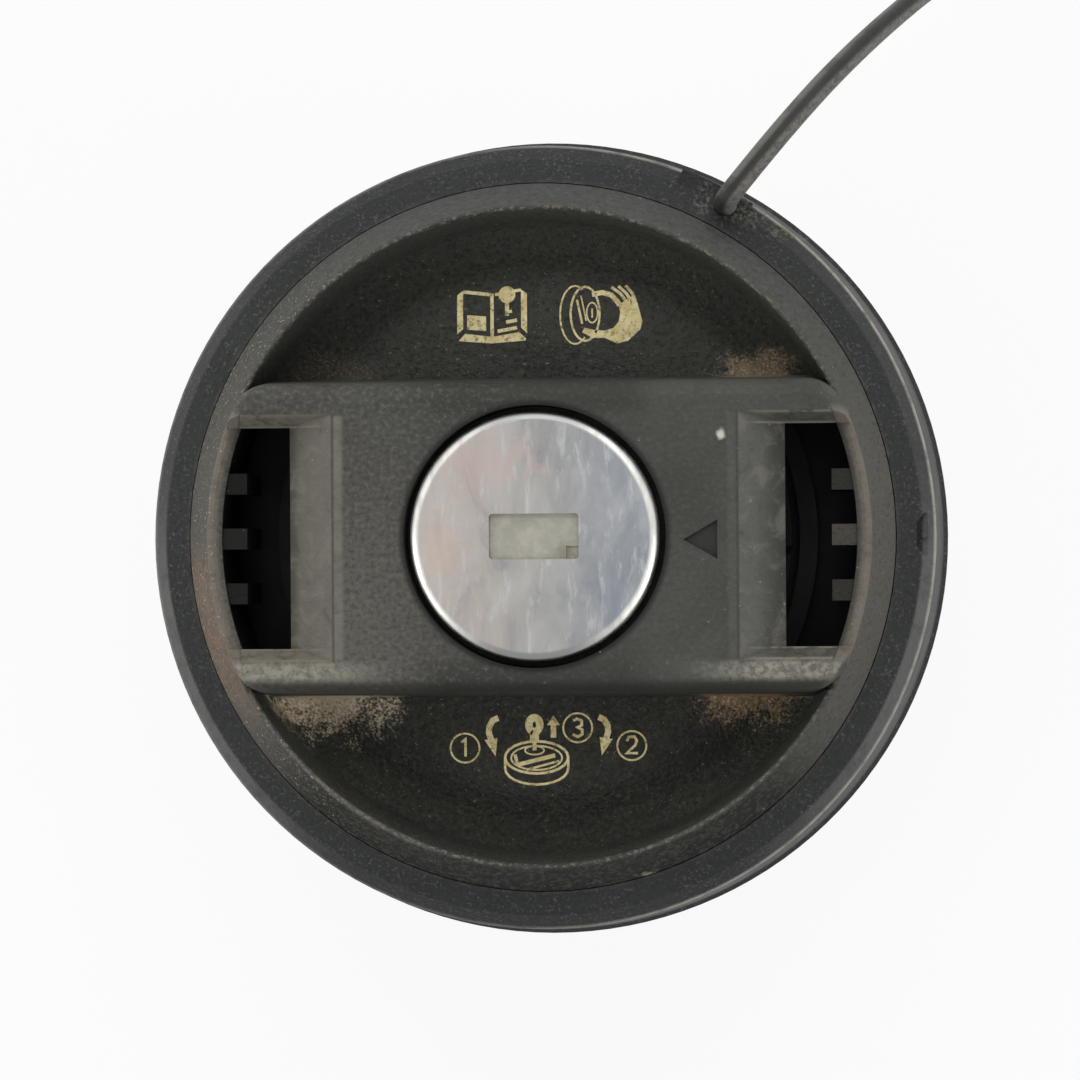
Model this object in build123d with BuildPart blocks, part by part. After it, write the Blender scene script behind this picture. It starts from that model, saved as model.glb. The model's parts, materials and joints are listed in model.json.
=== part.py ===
from build123d import *
import math
import os

os.makedirs("parts", exist_ok=True)

# Locking, tethered fuel filler cap, in millimetres. +Z runs up the cap's axis, the origin is the
# middle of the neck's bottom face, and +X points along the grip bar towards the arrow on it.

# ---------------------------------------------------------------- driving dimensions
# clearances
run_gap = 0.3              # between faces that turn or slide past each other
seat_gap = 0.05            # between pieces fitted into each other for good
lift_gap = 0.1             # under a piece that slides on a flat

# neck and flange
neck_r = 24.0
neck_wall = 2.4
neck_length = 29.5         # neck bottom to the underside of the sealing flange
flange_gap = 0.3           # flange to the cover's skirt round it
flange_t = 2.0
drive_step = 1.4           # neck's outside out to the inside of the toothed wall on the flange
drive_wall_t = 1.8
drive_height = 2.7
tooth_count = 24
tooth_depth = 0.9
lug_reach = 3.2            # bayonet lugs
lug_height = 4.0
lug_bottom_z = 5.0
lug_angle = 52.0
lug_ramp_l = 20.0          # cutter that slopes each lug's leading end
web_t = 2.0

# seal
seal_setback = 2.0         # seal's edge inside the flange's
seal_t = 2.3

# cover
cover_wall = 2.2
valley_drop = 1.5          # pocket floor down to the valley round it
rim_height = 7.7           # pocket floor up to the rim's crest
rim_rise = 4.0             # seam up to the rim's crest
bar_height = 11.2          # pocket floor up to the top of the grip bar
seam_r = 34.9
rim_band_w = 2.4           # sloping band from the seam in to the rim's crest
rim_crest_w = 0.45
pocket_wall_lean = 0.95    # rim's inner edge in to the foot of the pockets' outer wall
valley_w = 4.5             # foot of that wall in to the edge of the raised pocket floor
skirt_step = 0.8
skirt_wall = 1.6
skirt_drop = 2.5           # skirt's lower edge below the flange's underside
bead_reach = 0.7

# grip bar and its windows
bar_width = 29.8
bar_end_inset = 0.4        # rim's crest in to the bar's ends
bar_corner_r = 3.4
bar_edge_r = 1.8
bar_draft = 5.0
bar_wall = 2.0
end_wall_t = 1.35          # rim's crest in to the windows' outer edge
end_bevel_h = 0.6          # bevel from the rim's crest down to that edge
window_w = 6.95
funnel_w = 4.5             # slope from the bar's top down to a window's inner edge
funnel_margin = 2.85       # bar's side in to the funnel's
funnel_side_w = 1.2
funnel_drop = 2.8
rib_reach = 2.45
rib_t = 2.05
rib_pitch = 5.4
rib_drop = 4.3             # bar top down to the ribs' upper ends
arrow_gap = 1.65           # lock hole out to the arrow's tip
arrow_length = 3.3
arrow_half_w = 1.9
arrow_y = -0.4
arrow_depth = 0.35

# tether ring
ring_gap = 0.1             # running gap at the seam
ring_flat_w = 2.4
ring_flat_fall = 0.9
ring_chamfer_w = 1.5
ring_chamfer_h = 1.6
ring_wall_flare = 0.9
ring_wall_h = 10.5
ring_lip_w = 0.45
ring_lip_h = 1.3
ring_wall_t = 1.9
ring_web_t = 1.8           # the ring's inner lip, held under the cover's step
ring_bore_h = 3.4
pad_from = 57.1
pad_to = 68.5
mark_inset = 0.45          # the mark's inner end, inside the flat's edge
mark_half_w = 2.1
mark_depth = 0.75
nub_r = 0.35

# tether
tether_d = 2.25
tether_inset = 2.5         # ring's bore out to the plug hole's middle
tether_angle = 60.5
plug_depth = 3.4
elbow_rise = 1.0
elbow_bend_r = 2.0
elbow_reach = 3.6
elbow_heading = 50.5
coil_r = 13.5
coil_turn = 265.0
cord_lead = 5.2            # level stretch of cord before it starts to fall
button_r = 5.0
button_t = 3.5
button_seat = 2.4          # length of cord held in the button
stud_r = 3.0
stud_h = 5.6
stud_bead = 0.2

# lock
face_r = 12.1
face_proud = 0.7
face_sheet = 0.5
face_edge_r = 0.9
face_gap = 0.65            # open gap round the face
head_height = 3.3
housing_r = 11.3
housing_flange_t = 0.8
barrel_r = 7.5
slot_length = 8.7
slot_width = 4.4
flap_t = 0.7
flap_lap = 0.35            # flap's overlap beyond the slot
flap_notch_x = 1.6
flap_notch_y = 1.6
flap_notch_depth = 0.2
hinge_pin_r = 0.4
hinge_pin_bite = 1.4       # pin's end in the barrel
hinge_knuckle_r = 0.85
hinge_knuckle_l = 3.0
hinge_offset = 1.1         # hinge pin beyond the slot's edge
flap_swing = 75.0
keyway_width = 3.0
wafer_count = 5
wafer_t = 0.8
wafer_width = 7.0
wafer_travel = 0.8
wafer_groove = 1.1
clip_t = 0.5
clip_reach = 2.1
clip_hold = 1.5            # axis to the bridge at the clip's closed side
tail_square = 7.0
cam_r = 7.8
cam_plate_t = 1.0
cam_socket_h = 1.75
cam_pin_r = 1.2
cam_throw = 2.6
bolt_t = 1.8
bolt_half_w = 5.4
bolt_tip_half_w = 2.5
bolt_gap = 2.2             # drawn-back bolt's tip to the ratchet ring round it
bolt_back = 7.6
carrier_edge = 0.8         # carrier's rim beyond its posts
carrier_t = 1.7
collar_t = 1.8
post_ring_r = 13.6
post_r = 2.6
screw_r = 1.25
screw_head_r = 2.4
screw_head_h = 1.8
screw_cross_w = 0.6
screw_bite = 5.9

# ratchet ring
ratchet_gap = 0.8          # ring's edge to the toothed wall
ratchet_wall = 1.7
ratchet_slot_w = 5.8
ratchet_slots = 12
pawl_slot_t = 0.8
pawl_t = 0.9
pawl_angle = 40.0

# valves
port_r = 7.0
seat_disc_t = 2.1
seat_recess = 0.3
seat_lip_w = 1.2
seat_lip_h = 0.6
chamber_r = 12.0
chamber_h = 12.6           # seat disc up to the web
chamber_wall = 1.8
plate_r = 10.5
plate_t = 1.8
pad_seal_t = 1.1
pad_seal_r = 10.0
pad_seal_bore = 4.2
plate_lift = 2.5
pressure_coil_r = 8.2
pressure_wire_r = 0.45
pressure_turns = 4.5
mushroom_r = 5.4
mushroom_t = 1.05
stem_r = 1.4
stem_h = 7.55
vacuum_drop = 1.5
vacuum_coil_r = 2.6
vacuum_wire_r = 0.25
vacuum_turns = 3.5
clip_cap_r = 3.6
clip_cap_t = 0.8

# ---------------------------------------------------------------- derived heights and radii
flange_bottom_z = neck_length
flange_top_z = flange_bottom_z + flange_t
drive_top_z = flange_top_z + drive_height
valley_under_z = drive_top_z + run_gap + lift_gap
valley_z = valley_under_z + cover_wall
floor_z = valley_z + valley_drop
floor_under_z = floor_z - cover_wall
rim_z = floor_z + rim_height
seam_z = rim_z - rim_rise
bar_top_z = floor_z + bar_height
skirt_bottom_z = flange_bottom_z - skirt_drop
skirt_r = seam_r - skirt_step
skirt_inner_r = skirt_r - skirt_wall
flange_r = skirt_inner_r - flange_gap
seal_r = flange_r - seal_setback
neck_bore_r = neck_r - neck_wall
drive_wall_r = neck_r + drive_step
ratchet_r = drive_wall_r - ratchet_gap
ratchet_skirt_r = neck_bore_r - run_gap
ratchet_inner_r = ratchet_skirt_r - ratchet_wall
bolt_tip_r = ratchet_inner_r - bolt_gap
carrier_r = post_ring_r + post_r + carrier_edge

rim_crest_r = seam_r - rim_band_w
rim_inner_r = rim_crest_r - rim_crest_w
pocket_wall_r = rim_inner_r - pocket_wall_lean
boss_r = pocket_wall_r - valley_w
bar_end_r = rim_crest_r - bar_end_inset
window_outer_r = rim_crest_r - end_wall_t
window_inner_x = window_outer_r - window_w
window_half_w = bar_width / 2 - funnel_margin - funnel_side_w
funnel_inner_x = window_inner_x - funnel_w
funnel_half_w = bar_width / 2 - funnel_margin
rib_end_x = window_outer_r - rib_reach

step_z = seam_z - ring_bore_h + lift_gap
ring_lip_top_z = step_z - run_gap
ring_lip_bottom_z = ring_lip_top_z - ring_web_t
bead_top_z = ring_lip_bottom_z - run_gap
bead_r = skirt_r + bead_reach

face_top_z = bar_top_z + face_proud
head_top_z = face_top_z - face_sheet
head_bottom_z = head_top_z - head_height
head_r = face_r - face_sheet - seat_gap
lock_hole_r = face_r + face_gap
housing_top_z = head_bottom_z - lift_gap * 2
housing_shoulder_z = housing_top_z - housing_flange_t
housing_bottom_z = floor_under_z - 0.5
barrel_bore_r = barrel_r + seat_gap
lock_tube_r = lock_hole_r + cover_wall

flap_top_z = head_top_z - lift_gap
hinge_z = flap_top_z - hinge_knuckle_r
hinge_y = slot_width / 2 + hinge_offset
flap_tip_y = -slot_width / 2 - flap_lap
flap_half_l = slot_length / 2 + flap_lap
flap_reach = hinge_y - flap_tip_y
cavity_half_x = flap_half_l + run_gap
cavity_low_y = flap_tip_y - run_gap
cavity_high_y = hinge_y + hinge_knuckle_r + run_gap
cavity_bottom_z = hinge_z - flap_reach - run_gap

clip_top_z = housing_bottom_z - run_gap
clip_bottom_z = clip_top_z - clip_t
clip_groove_r = barrel_r - 0.75
clip_outer_r = clip_groove_r + clip_reach
barrel_end_z = clip_bottom_z - clip_t
wafer_zone_top = cavity_bottom_z - run_gap
wafer_zone_bottom = housing_bottom_z + clip_t
wafer_pitch = (wafer_zone_top - wafer_zone_bottom) / wafer_count
wafer_slot_t = wafer_t + lift_gap
wafer_zs = [wafer_zone_bottom + wafer_pitch * (i + 0.5) for i in range(wafer_count)]

cam_top_z = barrel_end_z - seat_gap
cam_socket_z = cam_top_z - cam_socket_h
cam_bottom_z = cam_socket_z - cam_plate_t
bolt_top_z = cam_bottom_z - run_gap
bolt_bottom_z = bolt_top_z - bolt_t
carrier_top_z = bolt_bottom_z - lift_gap
carrier_bottom_z = carrier_top_z - carrier_t
cam_pin_end_z = carrier_top_z + run_gap
bolt_travel = 2 * cam_throw * math.sin(math.radians(45))
collar_inner_r = clip_outer_r + run_gap
collar_r = collar_inner_r + collar_t

seat_disc_top_z = seat_recess + seat_disc_t
seat_lip_z = seat_disc_top_z + seat_lip_h
web_bottom_z = seat_disc_top_z + chamber_h
pad_seal_z = seat_lip_z + seat_gap
plate_bottom_z = pad_seal_z + pad_seal_t
plate_top_z = plate_bottom_z + plate_t
mushroom_top_z = pad_seal_z - seat_gap
mushroom_bottom_z = mushroom_top_z - mushroom_t
stem_top_z = mushroom_top_z + stem_h
clip_cap_z = stem_top_z - clip_cap_t - lift_gap


def radial_plane(angle):
    """A plane through the Z axis whose x runs outwards at the angle and whose y runs up."""
    a = math.radians(angle)
    return Plane(origin=(0, 0, 0), x_dir=(math.cos(a), math.sin(a), 0), z_dir=(math.sin(a), -math.cos(a), 0))


def polar(radius, angle):
    """The point of the XY plane at a radius and an angle in degrees."""
    return (radius * math.cos(math.radians(angle)), radius * math.sin(math.radians(angle)))


def save(part, label):
    """Label a finished piece and write it as its own STEP file."""
    part.label = label
    export_step(part, f"parts/{label}.step")


# ---------------------------------------------------------------- grip cover
cover_outline = [
    ((0, floor_z), 0),
    ((boss_r - valley_drop, floor_z), 4.0),
    ((boss_r + valley_drop, valley_z), 2.2),
    ((pocket_wall_r, valley_z), 2.2),
    ((rim_inner_r, rim_z), rim_crest_w / 2),
    ((rim_crest_r, rim_z), rim_crest_w * 0.8),
    ((seam_r, seam_z), 0),
    ((seam_r, step_z), 0),
    ((skirt_r, step_z), 0),
    ((skirt_r, bead_top_z + bead_reach * 0.3), 0),
    ((bead_r, bead_top_z), 0),
    ((bead_r, bead_top_z - bead_reach * 0.6), 0),
    ((skirt_r, bead_top_z - bead_reach * 2), 0),
    ((skirt_r, skirt_bottom_z), 0),
    ((skirt_inner_r, skirt_bottom_z), 0),
    ((skirt_inner_r, valley_under_z), 0),
    ((boss_r + valley_drop, valley_under_z), 0),
    ((boss_r - valley_drop, floor_under_z), 0),
    ((0, floor_under_z), 0),
]
rib_top_z = bar_top_z - rib_drop
funnel_z = bar_top_z - funnel_drop
window_roof_z = funnel_z - bar_wall
bar_inner_half_w = bar_width / 2 - bar_wall
tube_foot_r = housing_r + run_gap + cover_wall
retainer_t = 1.8
retainer_top_z = flange_bottom_z - run_gap
retainer_bottom_z = retainer_top_z - retainer_t
retainer_bead = 0.5

with BuildPart() as grip_cover:
    with BuildSketch(Plane.XZ):
        with BuildLine():
            FilletPolyline(
                [point for point, corner in cover_outline],
                radius=[corner for point, corner in cover_outline],
                close=True,
            )
        make_face()
    revolve(axis=Axis.Z)

    # the grip bar, with rounded ends and drafted sides
    with BuildSketch(Plane.XY.offset(bar_top_z)) as bar_plan:
        Rectangle(2 * seam_r, bar_width)
        Circle(bar_end_r, mode=Mode.INTERSECT)
        fillet(bar_plan.vertices(), bar_corner_r)
    extrude(amount=-(bar_top_z - valley_z), taper=-bar_draft)
    fillet(grip_cover.faces().sort_by(Axis.Z)[-1].edges(), bar_edge_r)

    # the hollow under the bar, with a sloping roof beside each window and round ends
    with BuildPart(mode=Mode.PRIVATE) as bar_hollow:
        with BuildSketch(Plane.XZ):
            with BuildLine():
                Polyline(
                    (0, bar_top_z - cover_wall),
                    (funnel_inner_x - funnel_side_w, bar_top_z - cover_wall),
                    (window_inner_x, window_roof_z),
                    (window_outer_r, window_roof_z),
                    (window_outer_r, valley_under_z - 0.5),
                    (0, valley_under_z - 0.5),
                    close=True,
                )
            make_face()
            mirror(about=Plane.YZ)
        extrude(amount=bar_inner_half_w, both=True)
        with BuildSketch(Plane.XY.offset(valley_under_z - 0.5)):
            Circle(window_outer_r)
        extrude(amount=bar_height, mode=Mode.INTERSECT)
    add(bar_hollow.part, mode=Mode.SUBTRACT)

    # end walls outside the hollow, and the tube round the lock
    with BuildSketch(Plane.XY.offset(valley_under_z)) as end_walls:
        Rectangle(2 * (skirt_inner_r + 0.5), bar_width)
        Circle(skirt_inner_r + 0.5, mode=Mode.INTERSECT)
        Circle(window_outer_r, mode=Mode.SUBTRACT)
    extrude(amount=seam_z - valley_under_z)
    with BuildSketch(Plane.XY.offset(floor_under_z)):
        Circle(tube_foot_r)
    extrude(amount=bar_top_z - bar_edge_r - floor_under_z)
    with BuildSketch(Plane.XY.offset(housing_shoulder_z - cover_wall)):
        Circle(lock_tube_r)
        Rectangle(3 * lock_tube_r, bar_width - bar_wall, mode=Mode.INTERSECT)
    extrude(amount=bar_top_z - bar_edge_r - housing_shoulder_z + cover_wall)

    # screw bosses under the bar
    with BuildSketch(Plane.XY.offset(floor_under_z)):
        with PolarLocations(post_ring_r, 3, start_angle=60):
            Circle(post_r)
    extrude(amount=screw_bite + 1)

    # lock hole: open gap round the face, shoulder, then the housing's bore
    with BuildSketch(Plane.XY.offset(housing_shoulder_z)):
        Circle(lock_hole_r)
    extrude(amount=bar_height, mode=Mode.SUBTRACT)
    with BuildSketch(Plane.XY.offset(floor_under_z - 1)):
        Circle(housing_r + lift_gap)
    extrude(amount=bar_height, mode=Mode.SUBTRACT)
    with BuildSketch(Plane.XY.offset(floor_under_z - 1)):
        with PolarLocations(post_ring_r, 3, start_angle=60):
            Circle(screw_r + seat_gap)
    extrude(amount=screw_bite + 1, mode=Mode.SUBTRACT)

    # funnel recesses, open to the outside above the rim, and the windows through the bar
    with BuildPart(mode=Mode.PRIVATE) as window_room:
        with BuildSketch(Plane.XZ):
            with BuildLine():
                Polyline(
                    (0, valley_z),
                    (window_outer_r, valley_z),
                    (window_outer_r, rim_z - end_bevel_h),
                    (rim_inner_r, rim_z),
                    (seam_r, rim_z),
                    (seam_r, bar_top_z + 1),
                    (0, bar_top_z + 1),
                    close=True,
                )
            make_face()
        revolve(axis=Axis.Z)
    for side in (1, -1):
        with BuildPart(mode=Mode.PRIVATE) as funnel:
            with BuildSketch(Plane.XY.offset(bar_top_z)):
                with Locations((side * (funnel_inner_x + seam_r) / 2, 0)):
                    Rectangle(seam_r - funnel_inner_x, 2 * funnel_half_w)
            with BuildSketch(Plane.XY.offset(funnel_z)):
                with Locations((side * (window_inner_x + seam_r) / 2, 0)):
                    Rectangle(seam_r - window_inner_x, 2 * window_half_w)
            loft()
            with BuildSketch(Plane.XY.offset(valley_z)):
                with Locations((side * (window_inner_x + seam_r) / 2, 0)):
                    Rectangle(seam_r - window_inner_x, 2 * window_half_w)
            extrude(amount=funnel_z - valley_z + 0.5)
            add(window_room.part, mode=Mode.INTERSECT)
        add(funnel.part, mode=Mode.SUBTRACT)

    # three ribs inside each end wall
    for side in (1, -1):
        with BuildSketch(Plane.XY.offset(floor_under_z)):
            with Locations((side * (rib_end_x + bar_end_r) / 2, 0)):
                with GridLocations(0, rib_pitch, 1, 3):
                    Rectangle(bar_end_r - rib_end_x, rib_t)
        extrude(amount=rib_top_z - floor_under_z)

    # arrow beside the lock
    arrow_tip_x = lock_hole_r + arrow_gap
    with BuildSketch(Plane.XY.offset(bar_top_z)):
        with BuildLine():
            Polyline(
                (arrow_tip_x, arrow_y),
                (arrow_tip_x + arrow_length, arrow_y + arrow_half_w),
                (arrow_tip_x + arrow_length, arrow_y - arrow_half_w),
                close=True,
            )
        make_face()
    extrude(amount=-arrow_depth, mode=Mode.SUBTRACT)

    # groove for the retainer's snap bead
    with BuildSketch(Plane.XZ):
        with Locations((skirt_inner_r, (retainer_top_z + retainer_bottom_z) / 2)):
            Rectangle(2 * (retainer_bead + seat_gap), retainer_t / 2 + 2 * seat_gap)
    revolve(axis=Axis.Z, mode=Mode.SUBTRACT)
save(grip_cover.part, "grip_cover")

# ---------------------------------------------------------------- cover retainer
retainer_r = skirt_inner_r - seat_gap
with BuildPart() as cover_retainer:
    with BuildSketch(Plane.XZ):
        with BuildLine():
            Polyline(
                (seal_r + 0.5, retainer_bottom_z),
                (retainer_r, retainer_bottom_z),
                (retainer_r, retainer_bottom_z + retainer_t / 4),
                (retainer_r + retainer_bead, retainer_bottom_z + retainer_t * 0.4),
                (retainer_r + retainer_bead, retainer_bottom_z + retainer_t * 0.6),
                (retainer_r, retainer_top_z - retainer_t / 4),
                (retainer_r, retainer_top_z),
                (seal_r + 0.5, retainer_top_z),
                close=True,
            )
        make_face()
    revolve(axis=Axis.Z)
save(cover_retainer.part, "cover_retainer")

# ---------------------------------------------------------------- tether ring
ring_bore_r = seam_r + ring_gap
ring_top_z = seam_z - lift_gap
flat_end_r = ring_bore_r + ring_flat_w
flat_end_z = ring_top_z - ring_flat_fall
wall_top_r = flat_end_r + ring_chamfer_w
wall_top_z = flat_end_z - ring_chamfer_h
mark_inner_r = flat_end_r - mark_inset
wall_foot_r = wall_top_r + ring_wall_flare
wall_foot_z = wall_top_z - ring_wall_h
ring_r = wall_foot_r + ring_lip_w
ring_bottom_z = wall_foot_z - ring_lip_h
ring_outline = [
    ((ring_bore_r, ring_top_z), 0),
    ((flat_end_r, flat_end_z), 0.3),
    ((wall_top_r, wall_top_z), 0.45),
    ((wall_foot_r, wall_foot_z), 0.4),
    ((ring_r, wall_foot_z - ring_lip_w), 0.15),
    ((ring_r, ring_bottom_z), 0.3),
    ((ring_r - ring_wall_t, ring_bottom_z), 0),
    ((wall_top_r - ring_wall_t, ring_lip_bottom_z), 0.5),
    ((skirt_r + run_gap, ring_lip_bottom_z), 0),
    ((skirt_r + run_gap, ring_lip_top_z), 0),
    ((ring_bore_r, ring_lip_top_z), 0),
]
hole_x, hole_y = polar(ring_bore_r + tether_inset, tether_angle)

with BuildPart() as tether_ring:
    with BuildSketch(Plane.XZ):
        with BuildLine():
            FilletPolyline(
                [point for point, corner in ring_outline],
                radius=[corner for point, corner in ring_outline],
                close=True,
            )
        make_face()
    revolve(axis=Axis.Z)

    # flat pad that the tether's end is plugged into
    with BuildSketch(radial_plane(pad_from)):
        with Locations((wall_top_r, flat_end_z)):
            Rectangle(
                wall_top_r - flat_end_r + 2 * ring_gap,
                2 * ring_chamfer_h,
                align=(Align.MAX, Align.MAX),
            )
    revolve(axis=Axis.Z, revolution_arc=pad_to - pad_from)

    # gate mark in the chamfer, with its nub
    with BuildSketch(Plane.XY.offset(flat_end_z - mark_depth)):
        with BuildLine():
            Polyline(
                (mark_inner_r, mark_half_w * 0.55),
                (mark_inner_r + 0.7, mark_half_w),
                (ring_r, mark_half_w),
                (ring_r, -mark_half_w),
                (mark_inner_r + 0.7, -mark_half_w),
                (mark_inner_r, -mark_half_w * 0.55),
                close=True,
            )
        make_face()
    extrude(amount=2 * mark_depth, mode=Mode.SUBTRACT)
    with BuildSketch(Plane.XY.offset(flat_end_z - mark_depth - 0.2)):
        with Locations((mark_inner_r + 0.75, 0)):
            Circle(nub_r)
    extrude(amount=mark_depth * 0.8)

    # hole for the tether's plug
    with BuildSketch(Plane.XY.offset(seam_z - plug_depth - run_gap)):
        with Locations((hole_x, hole_y)):
            Circle(tether_d / 2 + seat_gap)
    extrude(amount=plug_depth + 1, mode=Mode.SUBTRACT)
save(tether_ring.part, "tether_ring")

# ---------------------------------------------------------------- tether elbow
elbow_top_z = seam_z + elbow_rise + elbow_bend_r
elbow_dx, elbow_dy = polar(1, elbow_heading)
cord_exit_x = hole_x + elbow_reach * elbow_dx
cord_exit_y = hole_y + elbow_reach * elbow_dy
with BuildPart() as tether_elbow:
    with BuildLine() as elbow_path:
        FilletPolyline(
            (hole_x, hole_y, seam_z - plug_depth),
            (hole_x, hole_y, elbow_top_z),
            (cord_exit_x, cord_exit_y, elbow_top_z),
            radius=elbow_bend_r,
        )
    with BuildSketch(Plane(origin=elbow_path.line @ 0, z_dir=elbow_path.line % 0)):
        Circle(tether_d / 2)
    sweep()
save(tether_elbow.part, "tether_elbow")

# ---------------------------------------------------------------- tether cord
# The free stretch leaves the elbow level, bends down under its own weight and lands on the surface
# that the cap stands on, where the rest is put away in one open loop.
cord_route = [
    (cord_exit_x, cord_exit_y, elbow_top_z),
    (cord_exit_x + cord_lead * elbow_dx, cord_exit_y + cord_lead * elbow_dy, elbow_top_z),
    (29.8, 46.1, 41.6),
    (36.2, 52.9, 33.2),
    (42.0, 58.6, 22.0),
    (47.5, 63.8, 10.4),
    (54.1, 70.0, tether_d / 2 + seat_gap),
    (62.4, 77.9, tether_d / 2 + seat_gap),
]


def route_radii(route):
    """For each corner of a route, 0.45 of its shorter run over the tangent of half its turn."""
    radii = []
    for before, corner, after in zip(route, route[1:], route[2:]):
        run_in = Vector(corner) - Vector(before)
        run_out = Vector(after) - Vector(corner)
        half_turn = math.radians(run_in.get_angle(run_out) / 2)
        radii.append(0.45 * min(run_in.length, run_out.length) / math.tan(half_turn))
    return radii


cord_radii = route_radii(cord_route)
print("cord radii (mm):", [round(r, 1) for r in cord_radii])
with BuildPart() as tether_cord:
    with BuildLine() as cord_path:
        FilletPolyline(cord_route, radius=cord_radii)
    with BuildSketch(Plane(origin=cord_path.line @ 0, z_dir=cord_path.line % 0)):
        Circle(tether_d / 2)
    sweep()
cord_length = sum(edge.length for edge in cord_path.line.edges())
print("cord tube length (mm):", round(cord_length, 2))
cord_fill = tether_cord.part.volume / (math.pi * tether_d**2 / 4 * cord_length)
print("tube volume over section x length:", round(cord_fill, 4))
save(tether_cord.part, "tether_cord")

# ---------------------------------------------------------------- tether coil
coil_start = Vector(cord_route[-1])
coil_heading = Vector(cord_route[-1]) - Vector(cord_route[-2])
coil_heading_deg = math.degrees(math.atan2(coil_heading.Y, coil_heading.X))
coil_start_deg = coil_heading_deg - 90
coil_centre_x = coil_start.X - coil_r * math.cos(math.radians(coil_start_deg))
coil_centre_y = coil_start.Y - coil_r * math.sin(math.radians(coil_start_deg))
coil_end_deg = coil_start_deg + coil_turn
with BuildPart() as tether_coil:
    with BuildLine() as coil_path:
        CenterArc((coil_centre_x, coil_centre_y, coil_start.Z), coil_r, coil_start_deg, coil_turn)
    with BuildSketch(Plane(origin=coil_path.line @ 0, z_dir=coil_path.line % 0)):
        Circle(tether_d / 2)
    sweep()
print("coil length (mm):", round(math.radians(coil_turn) * coil_r, 2))
save(tether_coil.part, "tether_coil")

# ---------------------------------------------------------------- tether anchor
button_dx, button_dy = polar(1, coil_end_deg + 90)
coil_end_x = coil_centre_x + coil_r * math.cos(math.radians(coil_end_deg))
coil_end_y = coil_centre_y + coil_r * math.sin(math.radians(coil_end_deg))
button_x = coil_end_x + button_dx * (button_r - button_seat)
button_y = coil_end_y + button_dy * (button_r - button_seat)
with BuildPart() as tether_anchor:
    with BuildSketch(Plane.XY):
        with Locations((button_x, button_y)):
            Circle(button_r)
    extrude(amount=button_t)
    with BuildSketch(Plane.XY.offset(button_t)):
        with Locations((button_x, button_y)):
            Circle(stud_r)
    extrude(amount=stud_h)
    fillet(tether_anchor.edges().filter_by(GeomType.CIRCLE).group_by(Axis.Z)[0], 0.4)
    with BuildSketch(Plane.XY.offset(button_t + stud_h * 0.66)):
        with Locations((button_x, button_y)):
            Circle(stud_r + stud_bead)
    extrude(amount=stud_h * 0.14)
    chamfer(tether_anchor.faces().sort_by(Axis.Z)[-1].edges(), 0.8)
    # open channel underneath for the cord's end
    seat_plane = Plane(
        origin=(coil_end_x + seat_gap * button_dx, coil_end_y + seat_gap * button_dy, 0),
        x_dir=(button_dx, button_dy, 0),
        z_dir=(0, 0, 1),
    )
    with BuildSketch(seat_plane):
        Rectangle(button_r, tether_d + 2 * run_gap, align=(Align.MAX, Align.CENTER))
    extrude(amount=tether_d + 2 * seat_gap + lift_gap, mode=Mode.SUBTRACT)
print("anchor centre (mm):", round(button_x, 3), round(button_y, 3))
save(tether_anchor.part, "tether_anchor")

# ---------------------------------------------------------------- lock face cap
with BuildPart() as lock_face_cap:
    with BuildSketch(Plane.XZ):
        with BuildLine():
            FilletPolyline(
                (0, face_top_z),
                (face_r, face_top_z),
                (face_r, head_bottom_z + lift_gap),
                (face_r - face_sheet, head_bottom_z + lift_gap),
                (face_r - face_sheet, head_top_z),
                (0, head_top_z),
                radius=[0, face_edge_r, 0, 0, face_edge_r - face_sheet, 0],
                close=True,
            )
        make_face()
    revolve(axis=Axis.Z)
    with BuildSketch(Plane.XY.offset(head_top_z - 1)):
        RectangleRounded(slot_length, slot_width, 0.35)
    extrude(amount=face_sheet + 2, mode=Mode.SUBTRACT)
save(lock_face_cap.part, "lock_face_cap")

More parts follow.
